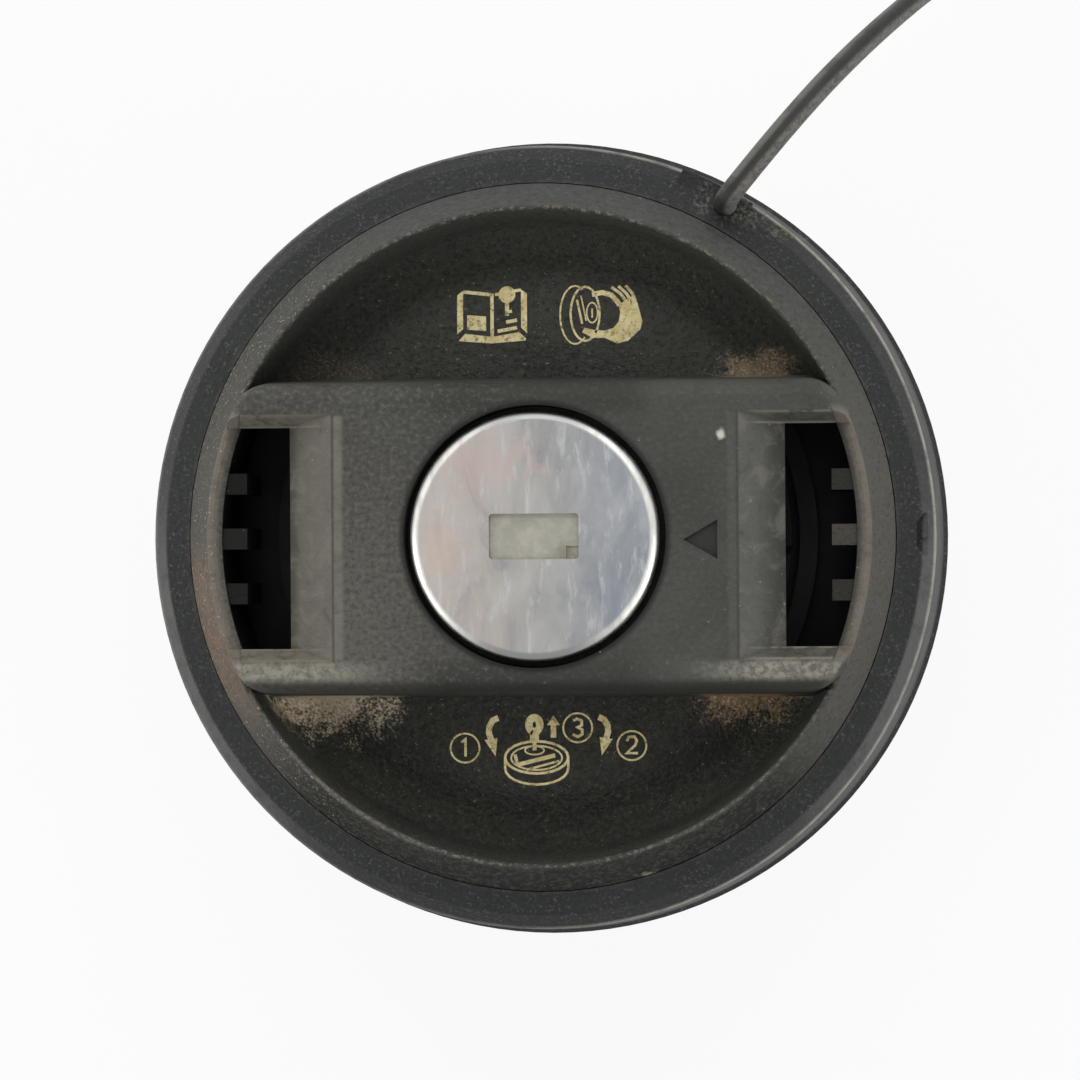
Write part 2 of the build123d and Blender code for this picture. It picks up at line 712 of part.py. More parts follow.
# ---------------------------------------------------------------- lock barrel
spring_pocket_y = wafer_width / 2 + 1.6
ear_x = 2.0
ear_w = 1.0
ear_end_x = ear_x + ear_w + wafer_travel + run_gap
spring_pocket_x = 2.7      # axis out to the blind end of the springs' pockets
with BuildPart() as lock_barrel:
    with BuildSketch(Plane.XZ):
        with BuildLine():
            FilletPolyline(
                (0, head_top_z),
                (head_r, head_top_z),
                (head_r, head_bottom_z),
                (barrel_r, head_bottom_z),
                (barrel_r, clip_top_z + seat_gap),
                (clip_groove_r, clip_top_z + seat_gap),
                (clip_groove_r, clip_bottom_z - seat_gap),
                (barrel_r, clip_bottom_z - seat_gap),
                (barrel_r, barrel_end_z),
                (0, barrel_end_z),
                radius=[0, face_edge_r - face_sheet + 0.1, 0, 0, 0, 0, 0, 0, 0, 0],
                close=True,
            )
        make_face()
    revolve(axis=Axis.Z)
    with BuildSketch(Plane.XY.offset(barrel_end_z)):
        Rectangle(tail_square, tail_square)
    extrude(amount=-(cam_socket_h - seat_gap * 2))

    # flap's cavity, then the keyway down to the last tumbler
    with BuildSketch(Plane.XY.offset(cavity_bottom_z)):
        with Locations((0, (cavity_low_y + cavity_high_y) / 2)):
            Rectangle(2 * cavity_half_x, cavity_high_y - cavity_low_y)
    extrude(amount=head_top_z - cavity_bottom_z + 1, mode=Mode.SUBTRACT)
    with BuildSketch(Plane.XY.offset(wafer_zone_bottom)):
        Rectangle(slot_length, keyway_width)
    extrude(amount=head_top_z - wafer_zone_bottom, mode=Mode.SUBTRACT)

    # hinge pin's bore, right through the head
    with BuildSketch(Plane.YZ):
        with Locations((hinge_y, hinge_z)):
            Circle(hinge_pin_r + seat_gap)
    extrude(amount=cavity_half_x + hinge_pin_bite + lift_gap, both=True, mode=Mode.SUBTRACT)

    # a slot across the barrel for each tumbler, with its spring's pocket beside it
    for z in wafer_zs:
        with BuildSketch(Plane.XY.offset(z - wafer_slot_t / 2)):
            Rectangle(3 * barrel_r, wafer_width + lift_gap)
            with Locations(((ear_end_x - spring_pocket_x) / 2, spring_pocket_y / 2)):
                Rectangle(ear_end_x + spring_pocket_x, spring_pocket_y)
        extrude(amount=wafer_slot_t, mode=Mode.SUBTRACT)
save(lock_barrel.part, "lock_barrel")

# ---------------------------------------------------------------- key shutter, pin and spring
with BuildPart() as key_shutter:
    with BuildSketch(Plane.XY.offset(flap_top_z - flap_t)):
        with Locations((0, (flap_tip_y + slot_width / 2) / 2)):
            Rectangle(2 * flap_half_l, slot_width / 2 - flap_tip_y)
        for side in (1, -1):
            with Locations((side * (flap_half_l - hinge_knuckle_l / 2), slot_width / 2 - run_gap)):
                Rectangle(hinge_knuckle_l, hinge_offset + run_gap, align=(Align.CENTER, Align.MIN))
    extrude(amount=flap_t)
    for start in (-flap_half_l, flap_half_l - hinge_knuckle_l):
        with BuildSketch(Plane.YZ.offset(start)):
            with Locations((hinge_y, hinge_z)):
                Circle(hinge_knuckle_r)
        extrude(amount=hinge_knuckle_l)
    with BuildSketch(Plane.YZ):
        with Locations((hinge_y, hinge_z)):
            Circle(hinge_pin_r + seat_gap)
    extrude(amount=flap_half_l + 1, both=True, mode=Mode.SUBTRACT)
    # shallow recess in the flap's free corner
    with BuildSketch(Plane.XY.offset(flap_top_z)):
        with Locations((flap_half_l, flap_tip_y)):
            Rectangle(2 * flap_notch_x, 2 * flap_notch_y)
    extrude(amount=-flap_notch_depth, mode=Mode.SUBTRACT)
save(key_shutter.part, "key_shutter")

with BuildPart() as shutter_pin:
    with BuildSketch(Plane.YZ):
        with Locations((hinge_y, hinge_z)):
            Circle(hinge_pin_r)
    extrude(amount=cavity_half_x + hinge_pin_bite, both=True)
save(shutter_pin.part, "shutter_pin")

shutter_wire_r = 0.1
shutter_coil_r = hinge_pin_r + shutter_wire_r + 0.1
shutter_coil_l = 2.6
with BuildPart() as shutter_spring:
    with BuildLine() as shutter_path:
        Helix(
            pitch=shutter_coil_l / 7,
            height=shutter_coil_l,
            radius=shutter_coil_r,
            center=(-shutter_coil_l / 2, hinge_y, hinge_z),
            direction=(1, 0, 0),
        )
    with BuildSketch(Plane(origin=shutter_path.line @ 0, z_dir=shutter_path.line % 0)):
        Circle(shutter_wire_r)
    sweep(is_frenet=True)
save(shutter_spring.part, "shutter_spring")

# ---------------------------------------------------------------- tumblers and their springs
with BuildPart() as wafer_tumblers:
    for z in wafer_zs:
        with BuildSketch(Plane.XY.offset(z - wafer_t / 2)):
            Rectangle(3 * barrel_r, wafer_width)
            Circle(barrel_r - seat_gap, mode=Mode.INTERSECT)
            with Locations((ear_x + ear_w / 2, wafer_width / 2 + 0.6)):
                Rectangle(ear_w, 1.6)
            Rectangle(slot_length + 0.3, keyway_width + 0.2, mode=Mode.SUBTRACT)
        extrude(amount=wafer_t)
save(wafer_tumblers.part, "wafer_tumblers")

wafer_wire = 0.18          # side of its square wire
wafer_coil_r = 0.28
wafer_spring_gap = 0.2
wafer_spring_l = ear_x + spring_pocket_x - 2 * wafer_spring_gap
with BuildPart() as wafer_springs:
    for z in wafer_zs:
        with BuildLine() as wafer_path:
            Helix(
                pitch=wafer_spring_l / 6,
                height=wafer_spring_l,
                radius=wafer_coil_r,
                center=(wafer_spring_gap - spring_pocket_x, wafer_width / 2 + 0.8, z),
                direction=(1, 0, 0),
            )
        with BuildSketch(Plane(origin=wafer_path.line @ 0, z_dir=wafer_path.line % 0)):
            Rectangle(wafer_wire, wafer_wire)
        sweep(is_frenet=True)
save(wafer_springs.part, "wafer_springs")

# ---------------------------------------------------------------- lock housing
with BuildPart() as lock_housing:
    with BuildSketch(Plane.XY.offset(housing_bottom_z)):
        Circle(housing_r)
    extrude(amount=housing_top_z - housing_bottom_z)
    with BuildSketch(Plane.XY.offset(housing_shoulder_z)):
        Circle(lock_hole_r - seat_gap)
    extrude(amount=housing_flange_t)
    with BuildSketch(Plane.XY.offset(housing_bottom_z)):
        Circle(barrel_bore_r)
    extrude(amount=housing_top_z - housing_bottom_z, mode=Mode.SUBTRACT)
    with BuildSketch(Plane.XY.offset(housing_bottom_z)):
        for angle in (0, 90):
            with Locations(Rotation(0, 0, angle)):
                Rectangle(2 * (barrel_r + wafer_groove), wafer_width + run_gap)
    extrude(amount=wafer_zone_top - housing_bottom_z, mode=Mode.SUBTRACT)
save(lock_housing.part, "lock_housing")

# ---------------------------------------------------------------- barrel clip
with BuildPart() as barrel_clip:
    with BuildSketch(Plane.XY.offset(clip_bottom_z)):
        Circle(clip_outer_r)
        Circle(clip_groove_r + seat_gap, mode=Mode.SUBTRACT)
        with Locations((-clip_outer_r, 0)):
            Rectangle(2 * (clip_outer_r - clip_hold), 1.6 * clip_groove_r, mode=Mode.SUBTRACT)
    extrude(amount=clip_t)
save(barrel_clip.part, "barrel_clip")

# ---------------------------------------------------------------- driver cam
cam_pin_x, cam_pin_y = polar(cam_throw, -135)
with BuildPart() as driver_cam:
    with BuildSketch(Plane.XY.offset(cam_bottom_z)):
        Circle(cam_r)
    extrude(amount=cam_top_z - cam_bottom_z)
    with BuildSketch(Plane.XY.offset(cam_socket_z)):
        Rectangle(tail_square + 2 * seat_gap, tail_square + 2 * seat_gap)
    extrude(amount=cam_socket_h, mode=Mode.SUBTRACT)
    with BuildSketch(Plane.XY.offset(cam_bottom_z)):
        with Locations((cam_pin_x, cam_pin_y)):
            Circle(cam_pin_r)
    extrude(amount=-(cam_bottom_z - cam_pin_end_z))
save(driver_cam.part, "driver_cam")

# ---------------------------------------------------------------- lock bolt
bolt_slot_low = -cam_throw - cam_pin_r - run_gap
bolt_slot_high = cam_pin_y + cam_pin_r + run_gap
with BuildPart() as lock_bolt:
    with BuildSketch(Plane.XY.offset(bolt_bottom_z)):
        with BuildLine():
            FilletPolyline(
                (-bolt_back, -bolt_half_w),
                (collar_inner_r + 1, -bolt_half_w),
                (collar_r + 1.5, -bolt_tip_half_w),
                (bolt_tip_r, -bolt_tip_half_w),
                (bolt_tip_r, bolt_tip_half_w),
                (collar_r + 1.5, bolt_tip_half_w),
                (collar_inner_r + 1, bolt_half_w),
                (-bolt_back, bolt_half_w),
                radius=[0.5, 0.5, 0.5, 0.4, 0.4, 0.5, 0.5, 0.5],
                close=True,
            )
        make_face()
        with Locations((cam_pin_x, (bolt_slot_low + bolt_slot_high) / 2)):
            Rectangle(2 * (cam_pin_r + run_gap), bolt_slot_high - bolt_slot_low, mode=Mode.SUBTRACT)
    extrude(amount=bolt_t)
save(lock_bolt.part, "lock_bolt")

# ---------------------------------------------------------------- bolt carrier and its screws
with BuildPart() as bolt_carrier:
    with BuildSketch(Plane.XY.offset(carrier_bottom_z)):
        Circle(carrier_r)
    extrude(amount=carrier_t)
    with BuildSketch(Plane.XY.offset(carrier_top_z)):
        Circle(collar_r)
        Circle(collar_inner_r, mode=Mode.SUBTRACT)
    extrude(amount=housing_bottom_z - carrier_top_z - lift_gap)
    with BuildSketch(Plane.XY.offset(carrier_top_z)):
        Rectangle(3 * collar_r, 2 * (bolt_half_w + lift_gap))
    extrude(amount=bolt_t + lift_gap + run_gap, mode=Mode.SUBTRACT)
    with BuildSketch(Plane.XY.offset(carrier_top_z)):
        with PolarLocations(post_ring_r, 3, start_angle=60):
            Circle(post_r)
    extrude(amount=floor_under_z - carrier_top_z)
    with BuildSketch(Plane.XY.offset(carrier_top_z)):
        Circle(collar_inner_r)
    extrude(amount=floor_under_z - carrier_top_z, mode=Mode.SUBTRACT)
    with BuildSketch(Plane.XY.offset(housing_bottom_z - lift_gap)):
        Circle(housing_r + lift_gap)
    extrude(amount=floor_under_z - housing_bottom_z + lift_gap, mode=Mode.SUBTRACT)
    with BuildSketch(Plane.XY.offset(carrier_bottom_z)):
        with PolarLocations(post_ring_r, 3, start_angle=60):
            Circle(screw_r + seat_gap)
    extrude(amount=floor_under_z - carrier_bottom_z, mode=Mode.SUBTRACT)
save(bolt_carrier.part, "bolt_carrier")

with BuildPart() as carrier_screws:
    with BuildSketch(Plane.XY.offset(carrier_bottom_z - screw_head_h)):
        with PolarLocations(post_ring_r, 3, start_angle=60):
            Circle(screw_head_r)
    extrude(amount=screw_head_h)
    fillet(carrier_screws.edges().group_by(Axis.Z)[0], 0.5)
    with BuildSketch(Plane.XY.offset(carrier_bottom_z)):
        with PolarLocations(post_ring_r, 3, start_angle=60):
            Circle(screw_r)
    extrude(amount=floor_under_z + screw_bite - 0.5 - carrier_bottom_z)
    with BuildSketch(Plane.XY.offset(carrier_bottom_z - screw_head_h)):
        with PolarLocations(post_ring_r, 3, start_angle=60):
            Rectangle(screw_head_r * 1.2, screw_cross_w)
            Rectangle(screw_cross_w, screw_head_r * 1.2)
    extrude(amount=screw_head_h * 0.6, mode=Mode.SUBTRACT)
save(carrier_screws.part, "carrier_screws")

# ---------------------------------------------------------------- neck body
drive_wall_outer_r = drive_wall_r + drive_wall_t
with BuildPart() as neck_body:
    with BuildSketch(Plane.XZ):
        with BuildLine():
            FilletPolyline(
                (neck_bore_r, 0),
                (neck_r, 0),
                (neck_r, flange_bottom_z),
                (flange_r, flange_bottom_z),
                (flange_r, flange_top_z),
                (drive_wall_outer_r, flange_top_z),
                (drive_wall_outer_r, drive_top_z),
                (drive_wall_r, drive_top_z),
                (drive_wall_r, flange_top_z),
                (neck_bore_r, flange_top_z),
                radius=[0, 0.8, 0, 0.4, 0.4, 0, 0, 0, 0, 0],
                close=True,
            )
        make_face()
        with Locations((0, web_bottom_z)):
            Rectangle(neck_bore_r + 0.5, web_t, align=(Align.MIN, Align.MIN))
        with Locations((chamber_r, seat_disc_top_z + lift_gap)):
            Rectangle(
                chamber_wall,
                web_bottom_z - seat_disc_top_z - lift_gap + 0.5,
                align=(Align.MIN, Align.MIN),
            )
    revolve(axis=Axis.Z)

    # vents through the web, inside the valve's chamber
    with BuildSketch(Plane.XY.offset(web_bottom_z - 1)):
        with PolarLocations(chamber_r * 0.4, 4, start_angle=45):
            Circle(1.5)
    extrude(amount=web_t + 2, mode=Mode.SUBTRACT)

    # ratchet teeth inside the wall above the flange
    with BuildSketch(Plane.XY.offset(flange_top_z)):
        with PolarLocations(drive_wall_r, tooth_count):
            with BuildLine():
                Polyline(
                    (-0.4, -1.5),
                    (tooth_depth, 0.5),
                    (tooth_depth, 1.0),
                    (-0.4, 1.5),
                    close=True,
                )
            make_face()
    extrude(amount=drive_height, mode=Mode.SUBTRACT)

    # bayonet lugs, each with a lead-in ramp on top of its leading end
    with BuildPart(mode=Mode.PRIVATE) as lugs:
        for angle in (0, 180):
            with BuildSketch(radial_plane(angle - lug_angle / 2)):
                with Locations((neck_r + lug_reach / 2 - 0.5, lug_bottom_z + lug_height / 2)):
                    Rectangle(lug_reach + 1, lug_height)
            revolve(axis=Axis.Z, revolution_arc=lug_angle)
            lead = math.radians(angle + lug_angle / 2)
            ramp = Plane(
                origin=(
                    neck_r * math.cos(lead),
                    neck_r * math.sin(lead),
                    lug_bottom_z + lug_height * 0.55,
                ),
                x_dir=(math.cos(lead), math.sin(lead), 0),
                z_dir=(-0.25 * math.sin(lead), 0.25 * math.cos(lead), 1),
            )
            with BuildSketch(ramp):
                Rectangle(4 * lug_reach, lug_ramp_l)
            extrude(amount=lug_height, mode=Mode.SUBTRACT)
    add(lugs.part)
save(neck_body.part, "neck_body")

# ---------------------------------------------------------------- main seal
with BuildPart() as main_seal:
    with BuildSketch(Plane.XZ):
        with BuildLine():
            FilletPolyline(
                (neck_r + seat_gap, flange_bottom_z),
                (seal_r, flange_bottom_z),
                (seal_r, flange_bottom_z - seal_t),
                (neck_r + seat_gap, flange_bottom_z - seal_t),
                radius=[0, 0.3, 0.6, 0.3],
                close=True,
            )
        make_face()
    revolve(axis=Axis.Z)
save(main_seal.part, "main_seal")

# ---------------------------------------------------------------- ratchet ring
pawl_root_r = ratchet_r - pawl_t - pawl_slot_t / 2
pawl_gap_y = -1.4
pawl_start_deg = math.degrees(pawl_gap_y / pawl_root_r)
with BuildPart() as ratchet_ring:
    with BuildSketch(Plane.XY.offset(flange_top_z)):
        Circle(ratchet_r)
        with PolarLocations(0, 4):
            SlotArc(
                arc=CenterArc((0, 0), pawl_root_r, pawl_start_deg, pawl_angle),
                height=pawl_slot_t,
                mode=Mode.SUBTRACT,
            )
        with PolarLocations(drive_wall_r, 4):
            with Locations((pawl_root_r - drive_wall_r + 1.0, pawl_gap_y)):
                Rectangle(2.0, pawl_slot_t, mode=Mode.SUBTRACT)
            with BuildLine():
                Polyline(
                    (ratchet_r - drive_wall_r - 0.4, -0.9),
                    (-0.3, -0.9),
                    (0.5, 0.35),
                    (0.5, 0.8),
                    (-0.3, 1.1),
                    (ratchet_r - drive_wall_r - 0.4, 1.1),
                    close=True,
                )
            make_face()
        Circle(ratchet_inner_r, mode=Mode.SUBTRACT)
    extrude(amount=drive_height)
    with BuildSketch(Plane.XY.offset(bolt_bottom_z - run_gap)):
        Circle(ratchet_skirt_r)
        Circle(ratchet_inner_r, mode=Mode.SUBTRACT)
    extrude(amount=flange_top_z - bolt_bottom_z + run_gap)
    with BuildSketch(Plane.XY.offset(bolt_bottom_z - run_gap)):
        with PolarLocations(ratchet_skirt_r, ratchet_slots):
            Rectangle(3 * (ratchet_skirt_r - ratchet_inner_r), ratchet_slot_w)
    extrude(amount=bolt_t + 2 * run_gap, mode=Mode.SUBTRACT)
save(ratchet_ring.part, "ratchet_ring")

# ---------------------------------------------------------------- valve seat
with BuildPart() as valve_seat:
    with BuildSketch(Plane.XY.offset(seat_recess)):
        Circle(neck_bore_r - seat_gap)
    extrude(amount=seat_disc_t)
    with BuildSketch(Plane.XY.offset(seat_disc_top_z)):
        Circle(port_r + seat_lip_w)
    extrude(amount=seat_lip_h)
    chamfer(valve_seat.faces().sort_by(Axis.Z)[-1].edges(), 0.35)
    with BuildSketch(Plane.XY):
        Circle(port_r)
    extrude(amount=seat_lip_z + 1, mode=Mode.SUBTRACT)
save(valve_seat.part, "valve_seat")

# ---------------------------------------------------------------- pressure valve
with BuildPart() as pressure_seal:
    with BuildSketch(Plane.XY.offset(pad_seal_z)):
        Circle(pad_seal_r)
        Circle(pad_seal_bore, mode=Mode.SUBTRACT)
    extrude(amount=pad_seal_t)
save(pressure_seal.part, "pressure_seal")

with BuildPart() as pressure_plate:
    with BuildSketch(Plane.XY.offset(plate_bottom_z)):
        Circle(plate_r)
        Circle(stem_r + lift_gap, mode=Mode.SUBTRACT)
        with PolarLocations((vacuum_coil_r + vacuum_wire_r + pad_seal_bore) / 2, 6):
            Circle(0.55, mode=Mode.SUBTRACT)
    extrude(amount=plate_t)
    fillet(pressure_plate.faces().sort_by(Axis.Z)[-1].outer_wire().edges(), 0.4)
save(pressure_plate.part, "pressure_plate")

with BuildPart() as pressure_spring:
    with BuildLine() as pressure_path:
        Helix(
            pitch=(web_bottom_z - plate_top_z - 2 * pressure_wire_r - seat_gap) / pressure_turns,
            height=web_bottom_z - plate_top_z - 2 * pressure_wire_r - seat_gap,
            radius=pressure_coil_r,
            center=(0, 0, plate_top_z + pressure_wire_r + seat_gap / 2),
        )
    with BuildSketch(Plane(origin=pressure_path.line @ 0, z_dir=pressure_path.line % 0)):
        Circle(pressure_wire_r)
    sweep(is_frenet=True)
save(pressure_spring.part, "pressure_spring")

# ---------------------------------------------------------------- vacuum valve
with BuildPart() as vacuum_plunger:
    with BuildSketch(Plane.XY.offset(mushroom_bottom_z)):
        Circle(mushroom_r)
    extrude(amount=mushroom_t)
    fillet(vacuum_plunger.edges().group_by(Axis.Z)[0], 0.3)
    with BuildSketch(Plane.XY.offset(mushroom_top_z)):
        Circle(stem_r)
    extrude(amount=stem_h)
    chamfer(vacuum_plunger.faces().sort_by(Axis.Z)[-1].edges(), 0.3)
save(vacuum_plunger.part, "vacuum_plunger")

with BuildPart() as vacuum_clip:
    with BuildSketch(Plane.XY.offset(clip_cap_z)):
        Circle(clip_cap_r)
        Circle(stem_r + seat_gap, mode=Mode.SUBTRACT)
    extrude(amount=clip_cap_t)
save(vacuum_clip.part, "vacuum_clip")

with BuildPart() as vacuum_spring:
    with BuildLine() as vacuum_path:
        Helix(
            pitch=(clip_cap_z - plate_top_z - 2 * vacuum_wire_r - seat_gap) / vacuum_turns,
            height=clip_cap_z - plate_top_z - 2 * vacuum_wire_r - seat_gap,
            radius=vacuum_coil_r,
            center=(0, 0, plate_top_z + vacuum_wire_r + seat_gap / 2),
        )
    with BuildSketch(Plane(origin=vacuum_path.line @ 0, z_dir=vacuum_path.line % 0)):
        Circle(vacuum_wire_r)
    sweep(is_frenet=True)
save(vacuum_spring.part, "vacuum_spring")
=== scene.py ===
"""Looks of the locking fuel filler cap: finishes, pictograms, tether, light and camera."""

import json
import math

import bmesh
import bpy
from mathutils import Matrix, Vector


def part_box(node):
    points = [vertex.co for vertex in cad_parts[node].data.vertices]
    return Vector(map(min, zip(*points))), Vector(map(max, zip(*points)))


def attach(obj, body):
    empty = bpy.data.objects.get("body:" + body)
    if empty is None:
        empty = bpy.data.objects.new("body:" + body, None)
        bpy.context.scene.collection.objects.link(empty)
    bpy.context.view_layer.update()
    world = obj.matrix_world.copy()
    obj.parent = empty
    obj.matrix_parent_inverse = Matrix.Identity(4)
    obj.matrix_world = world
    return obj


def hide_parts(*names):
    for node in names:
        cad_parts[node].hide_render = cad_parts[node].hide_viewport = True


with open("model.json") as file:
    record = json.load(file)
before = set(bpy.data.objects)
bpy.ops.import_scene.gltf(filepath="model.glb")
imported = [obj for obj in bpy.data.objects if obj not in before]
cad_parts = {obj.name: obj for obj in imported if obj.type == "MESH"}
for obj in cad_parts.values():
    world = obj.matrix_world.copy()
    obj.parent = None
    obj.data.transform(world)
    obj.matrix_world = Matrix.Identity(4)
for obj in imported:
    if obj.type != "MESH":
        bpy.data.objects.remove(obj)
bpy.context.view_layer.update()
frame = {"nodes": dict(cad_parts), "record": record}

MM = 0.001

# ---------------------------------------------------------------- places taken from the frame
cover_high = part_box("grip_cover")[1]
ring_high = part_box("tether_ring")[1]
face_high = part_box("lock_face_cap")[1]

BAR_TOP = cover_high[2]
POCKET_FLOOR = BAR_TOP - 11.2 * MM     # raised floor of both finger pockets
SEAM = ring_high[2] + 0.1 * MM         # joint between the cover and the tether ring
RIM = SEAM + 4.0 * MM                  # crest of the cover's rim
SEAM_R = cover_high[0]
SHOULDER_R = SEAM_R + 2.5 * MM         # outer edge of the ring's flat top
CREST_R = SEAM_R - 2.4 * MM            # radius of that crest
WINDOW_R = CREST_R - 1.35 * MM         # where the windows end
FACE_R = face_high[0]
LOCK_HOLE_R = FACE_R + 0.65 * MM
BAR_SIDE = 14.9 * MM                   # half the grip bar's width
FUNNEL_SIDE = 12.05 * MM               # half the width of the slopes beside the windows
FUNNEL_X = 19.7 * MM                   # where the slopes start
WINDOW_X = 24.2 * MM                   # where the windows start


# ---------------------------------------------------------------- material builder
class Paint:
    """One procedural material. Lengths are in metres, in the part's own coordinates."""

    def __init__(self, name):
        self.material = bpy.data.materials.new(name)
        self.material.use_nodes = True
        self.tree = self.material.node_tree
        self.shader = self.tree.nodes["Principled BSDF"]
        coordinates = self.tree.nodes.new("ShaderNodeTexCoord")
        self.place = coordinates.outputs["Object"]

    def _feed(self, socket, value):
        if isinstance(value, bpy.types.NodeSocket):
            self.tree.links.new(value, socket)
        else:
            socket.default_value = value

    def math(self, operation, a, b=0.0, clamp=False):
        node = self.tree.nodes.new("ShaderNodeMath")
        node.operation = operation
        node.use_clamp = clamp
        self._feed(node.inputs[0], a)
        self._feed(node.inputs[1], b)
        return node.outputs[0]

    def add(self, a, b):
        return self.math("ADD", a, b)

    def times(self, a, b):
        return self.math("MULTIPLY", a, b)

    def stretch(self, along):
        """The place with each axis scaled, for streaks."""
        node = self.tree.nodes.new("ShaderNodeMapping")
        self.tree.links.new(self.place, node.inputs["Vector"])
        node.inputs["Scale"].default_value = along
        return node.outputs["Vector"]

    def noise(self, size, detail=4.0, roughness=0.55, distortion=0.0, along=None):
        """Noise from 0 to 1 whose largest features are about this size."""
        node = self.tree.nodes.new("ShaderNodeTexNoise")
        self.tree.links.new(self.place if along is None else self.stretch(along), node.inputs["Vector"])
        node.inputs["Scale"].default_value = 1.0 / size
        node.inputs["Detail"].default_value = detail
        node.inputs["Roughness"].default_value = roughness
        node.inputs["Distortion"].default_value = distortion
        return node.outputs["Fac"]

    def band(self, value, low, high, to_low=0.0, to_high=1.0):
        """The value from low to high stretched to another range and held there."""
        node = self.tree.nodes.new("ShaderNodeMapRange")
        node.interpolation_type = "SMOOTHSTEP"
        self._feed(node.inputs["Value"], value)
        node.inputs["From Min"].default_value = low
        node.inputs["From Max"].default_value = high
        node.inputs["To Min"].default_value = to_low
        node.inputs["To Max"].default_value = to_high
        return node.outputs["Result"]

    def spread(self, noise, low, high):
        """Noise stretched to a range; most of it lies from 0.3 to 0.7."""
        return self.band(noise, 0.3, 0.7, low, high)

    def within(self, value, low, high, blur):
        """1 between two values, with soft edges."""
        return self.times(
            self.band(value, low - blur, low + blur),
            self.band(value, high - blur, high + blur, 1.0, 0.0),
        )

    def all(self, *masks):
        """The product of several masks."""
        product = masks[0]
        for mask in masks[1:]:
            product = self.times(product, mask)
        return product

    def xyz(self):
        node = self.tree.nodes.new("ShaderNodeSeparateXYZ")
        self.tree.links.new(self.place, node.inputs[0])
        return node.outputs

    def radius(self):
        """Distance from the cap's axis."""
        x, y = self.xyz()[:2]
        return self.length(x, y)

    def length(self, a, b):
        """Length of a vector with two parts."""
        return self.math("SQRT", self.add(self.times(a, a), self.times(b, b)))

    def oval(self, middle, half_size):
        """0 in an oval's middle and 1 on its edge, seen from above; all in millimetres."""
        x, y = self.xyz()[:2]
        across = self.times(self.add(x, -middle[0] * MM), 1.0 / (half_size[0] * MM))
        along = self.times(self.add(y, -middle[1] * MM), 1.0 / (half_size[1] * MM))
        return self.length(across, along)

    def patch(self, middle, half_size, ragged=0.35):
        """A ragged patch seen from above: 1 in its middle, 0 outside; all in millimetres."""
        distance = self.oval(middle, half_size)
        rough = self.spread(self.noise(1.5 * MM, 6, 0.65), -ragged, ragged)
        return self.band(self.add(distance, rough), 0.25, 1.0, 1.0, 0.0)

    def haze(self, middle, half_size, ragged=0.3, grainy=0.35):
        """A patch that fades out over its whole width, broken up by clumps and fine grains."""
        distance = self.oval(middle, half_size)
        clumps = self.spread(self.noise(2.2 * MM, 5, 0.65), -ragged, ragged)
        grains = self.spread(self.noise(0.3 * MM, 3, 0.7), -grainy, grainy)
        return self.band(self.add(self.add(distance, clumps), grains), 0.45, 1.2, 1.0, 0.0)

    def facing(self, direction):
        """How far the surface faces a direction of length 1, in the part's own coordinates."""
        coordinates = self.tree.nodes.new("ShaderNodeTexCoord")
        node = self.tree.nodes.new("ShaderNodeVectorMath")
        node.operation = "DOT_PRODUCT"
        self.tree.links.new(coordinates.outputs["Normal"], node.inputs[0])
        node.inputs[1].default_value = direction
        return node.outputs["Value"]

    def mix(self, amount, a, b):
        node = self.tree.nodes.new("ShaderNodeMix")
        node.data_type = "RGBA"
        self._feed(node.inputs[0], amount)
        self._feed(node.inputs[6], a if isinstance(a, bpy.types.NodeSocket) else (*a, 1.0))
        self._feed(node.inputs[7], b if isinstance(b, bpy.types.NodeSocket) else (*b, 1.0))
        return node.outputs[2]

    def bump(self, *layers):
        """Bumps on each other; every layer is (height from 0 to 1, depth in metres)."""
        normal = None
        for height, depth in layers:
            node = self.tree.nodes.new("ShaderNodeBump")
            node.inputs["Distance"].default_value = depth
            self._feed(node.inputs["Height"], height)
            if normal is not None:
                self.tree.links.new(normal, node.inputs["Normal"])
            normal = node.outputs["Normal"]
        self.tree.links.new(normal, self.shader.inputs["Normal"])

    def finish(self, colour, roughness, metallic=0.0, specular=0.5):
        self._feed(self.shader.inputs["Base Color"], colour)
        self._feed(self.shader.inputs["Roughness"], roughness)
        self.shader.inputs["Metallic"].default_value = metallic
        self.shader.inputs["Specular IOR Level"].default_value = specular
        return self.material


def tone(red, green, blue):
    """The linear colour of 8-bit levels, at which it shows under plain light."""
    levels = [max(v, 0.0) / 255.0 for v in (red, green, blue)]
    return tuple(v / 12.92 if v <= 0.04045 else ((v + 0.055) / 1.055) ** 2.4 for v in levels)


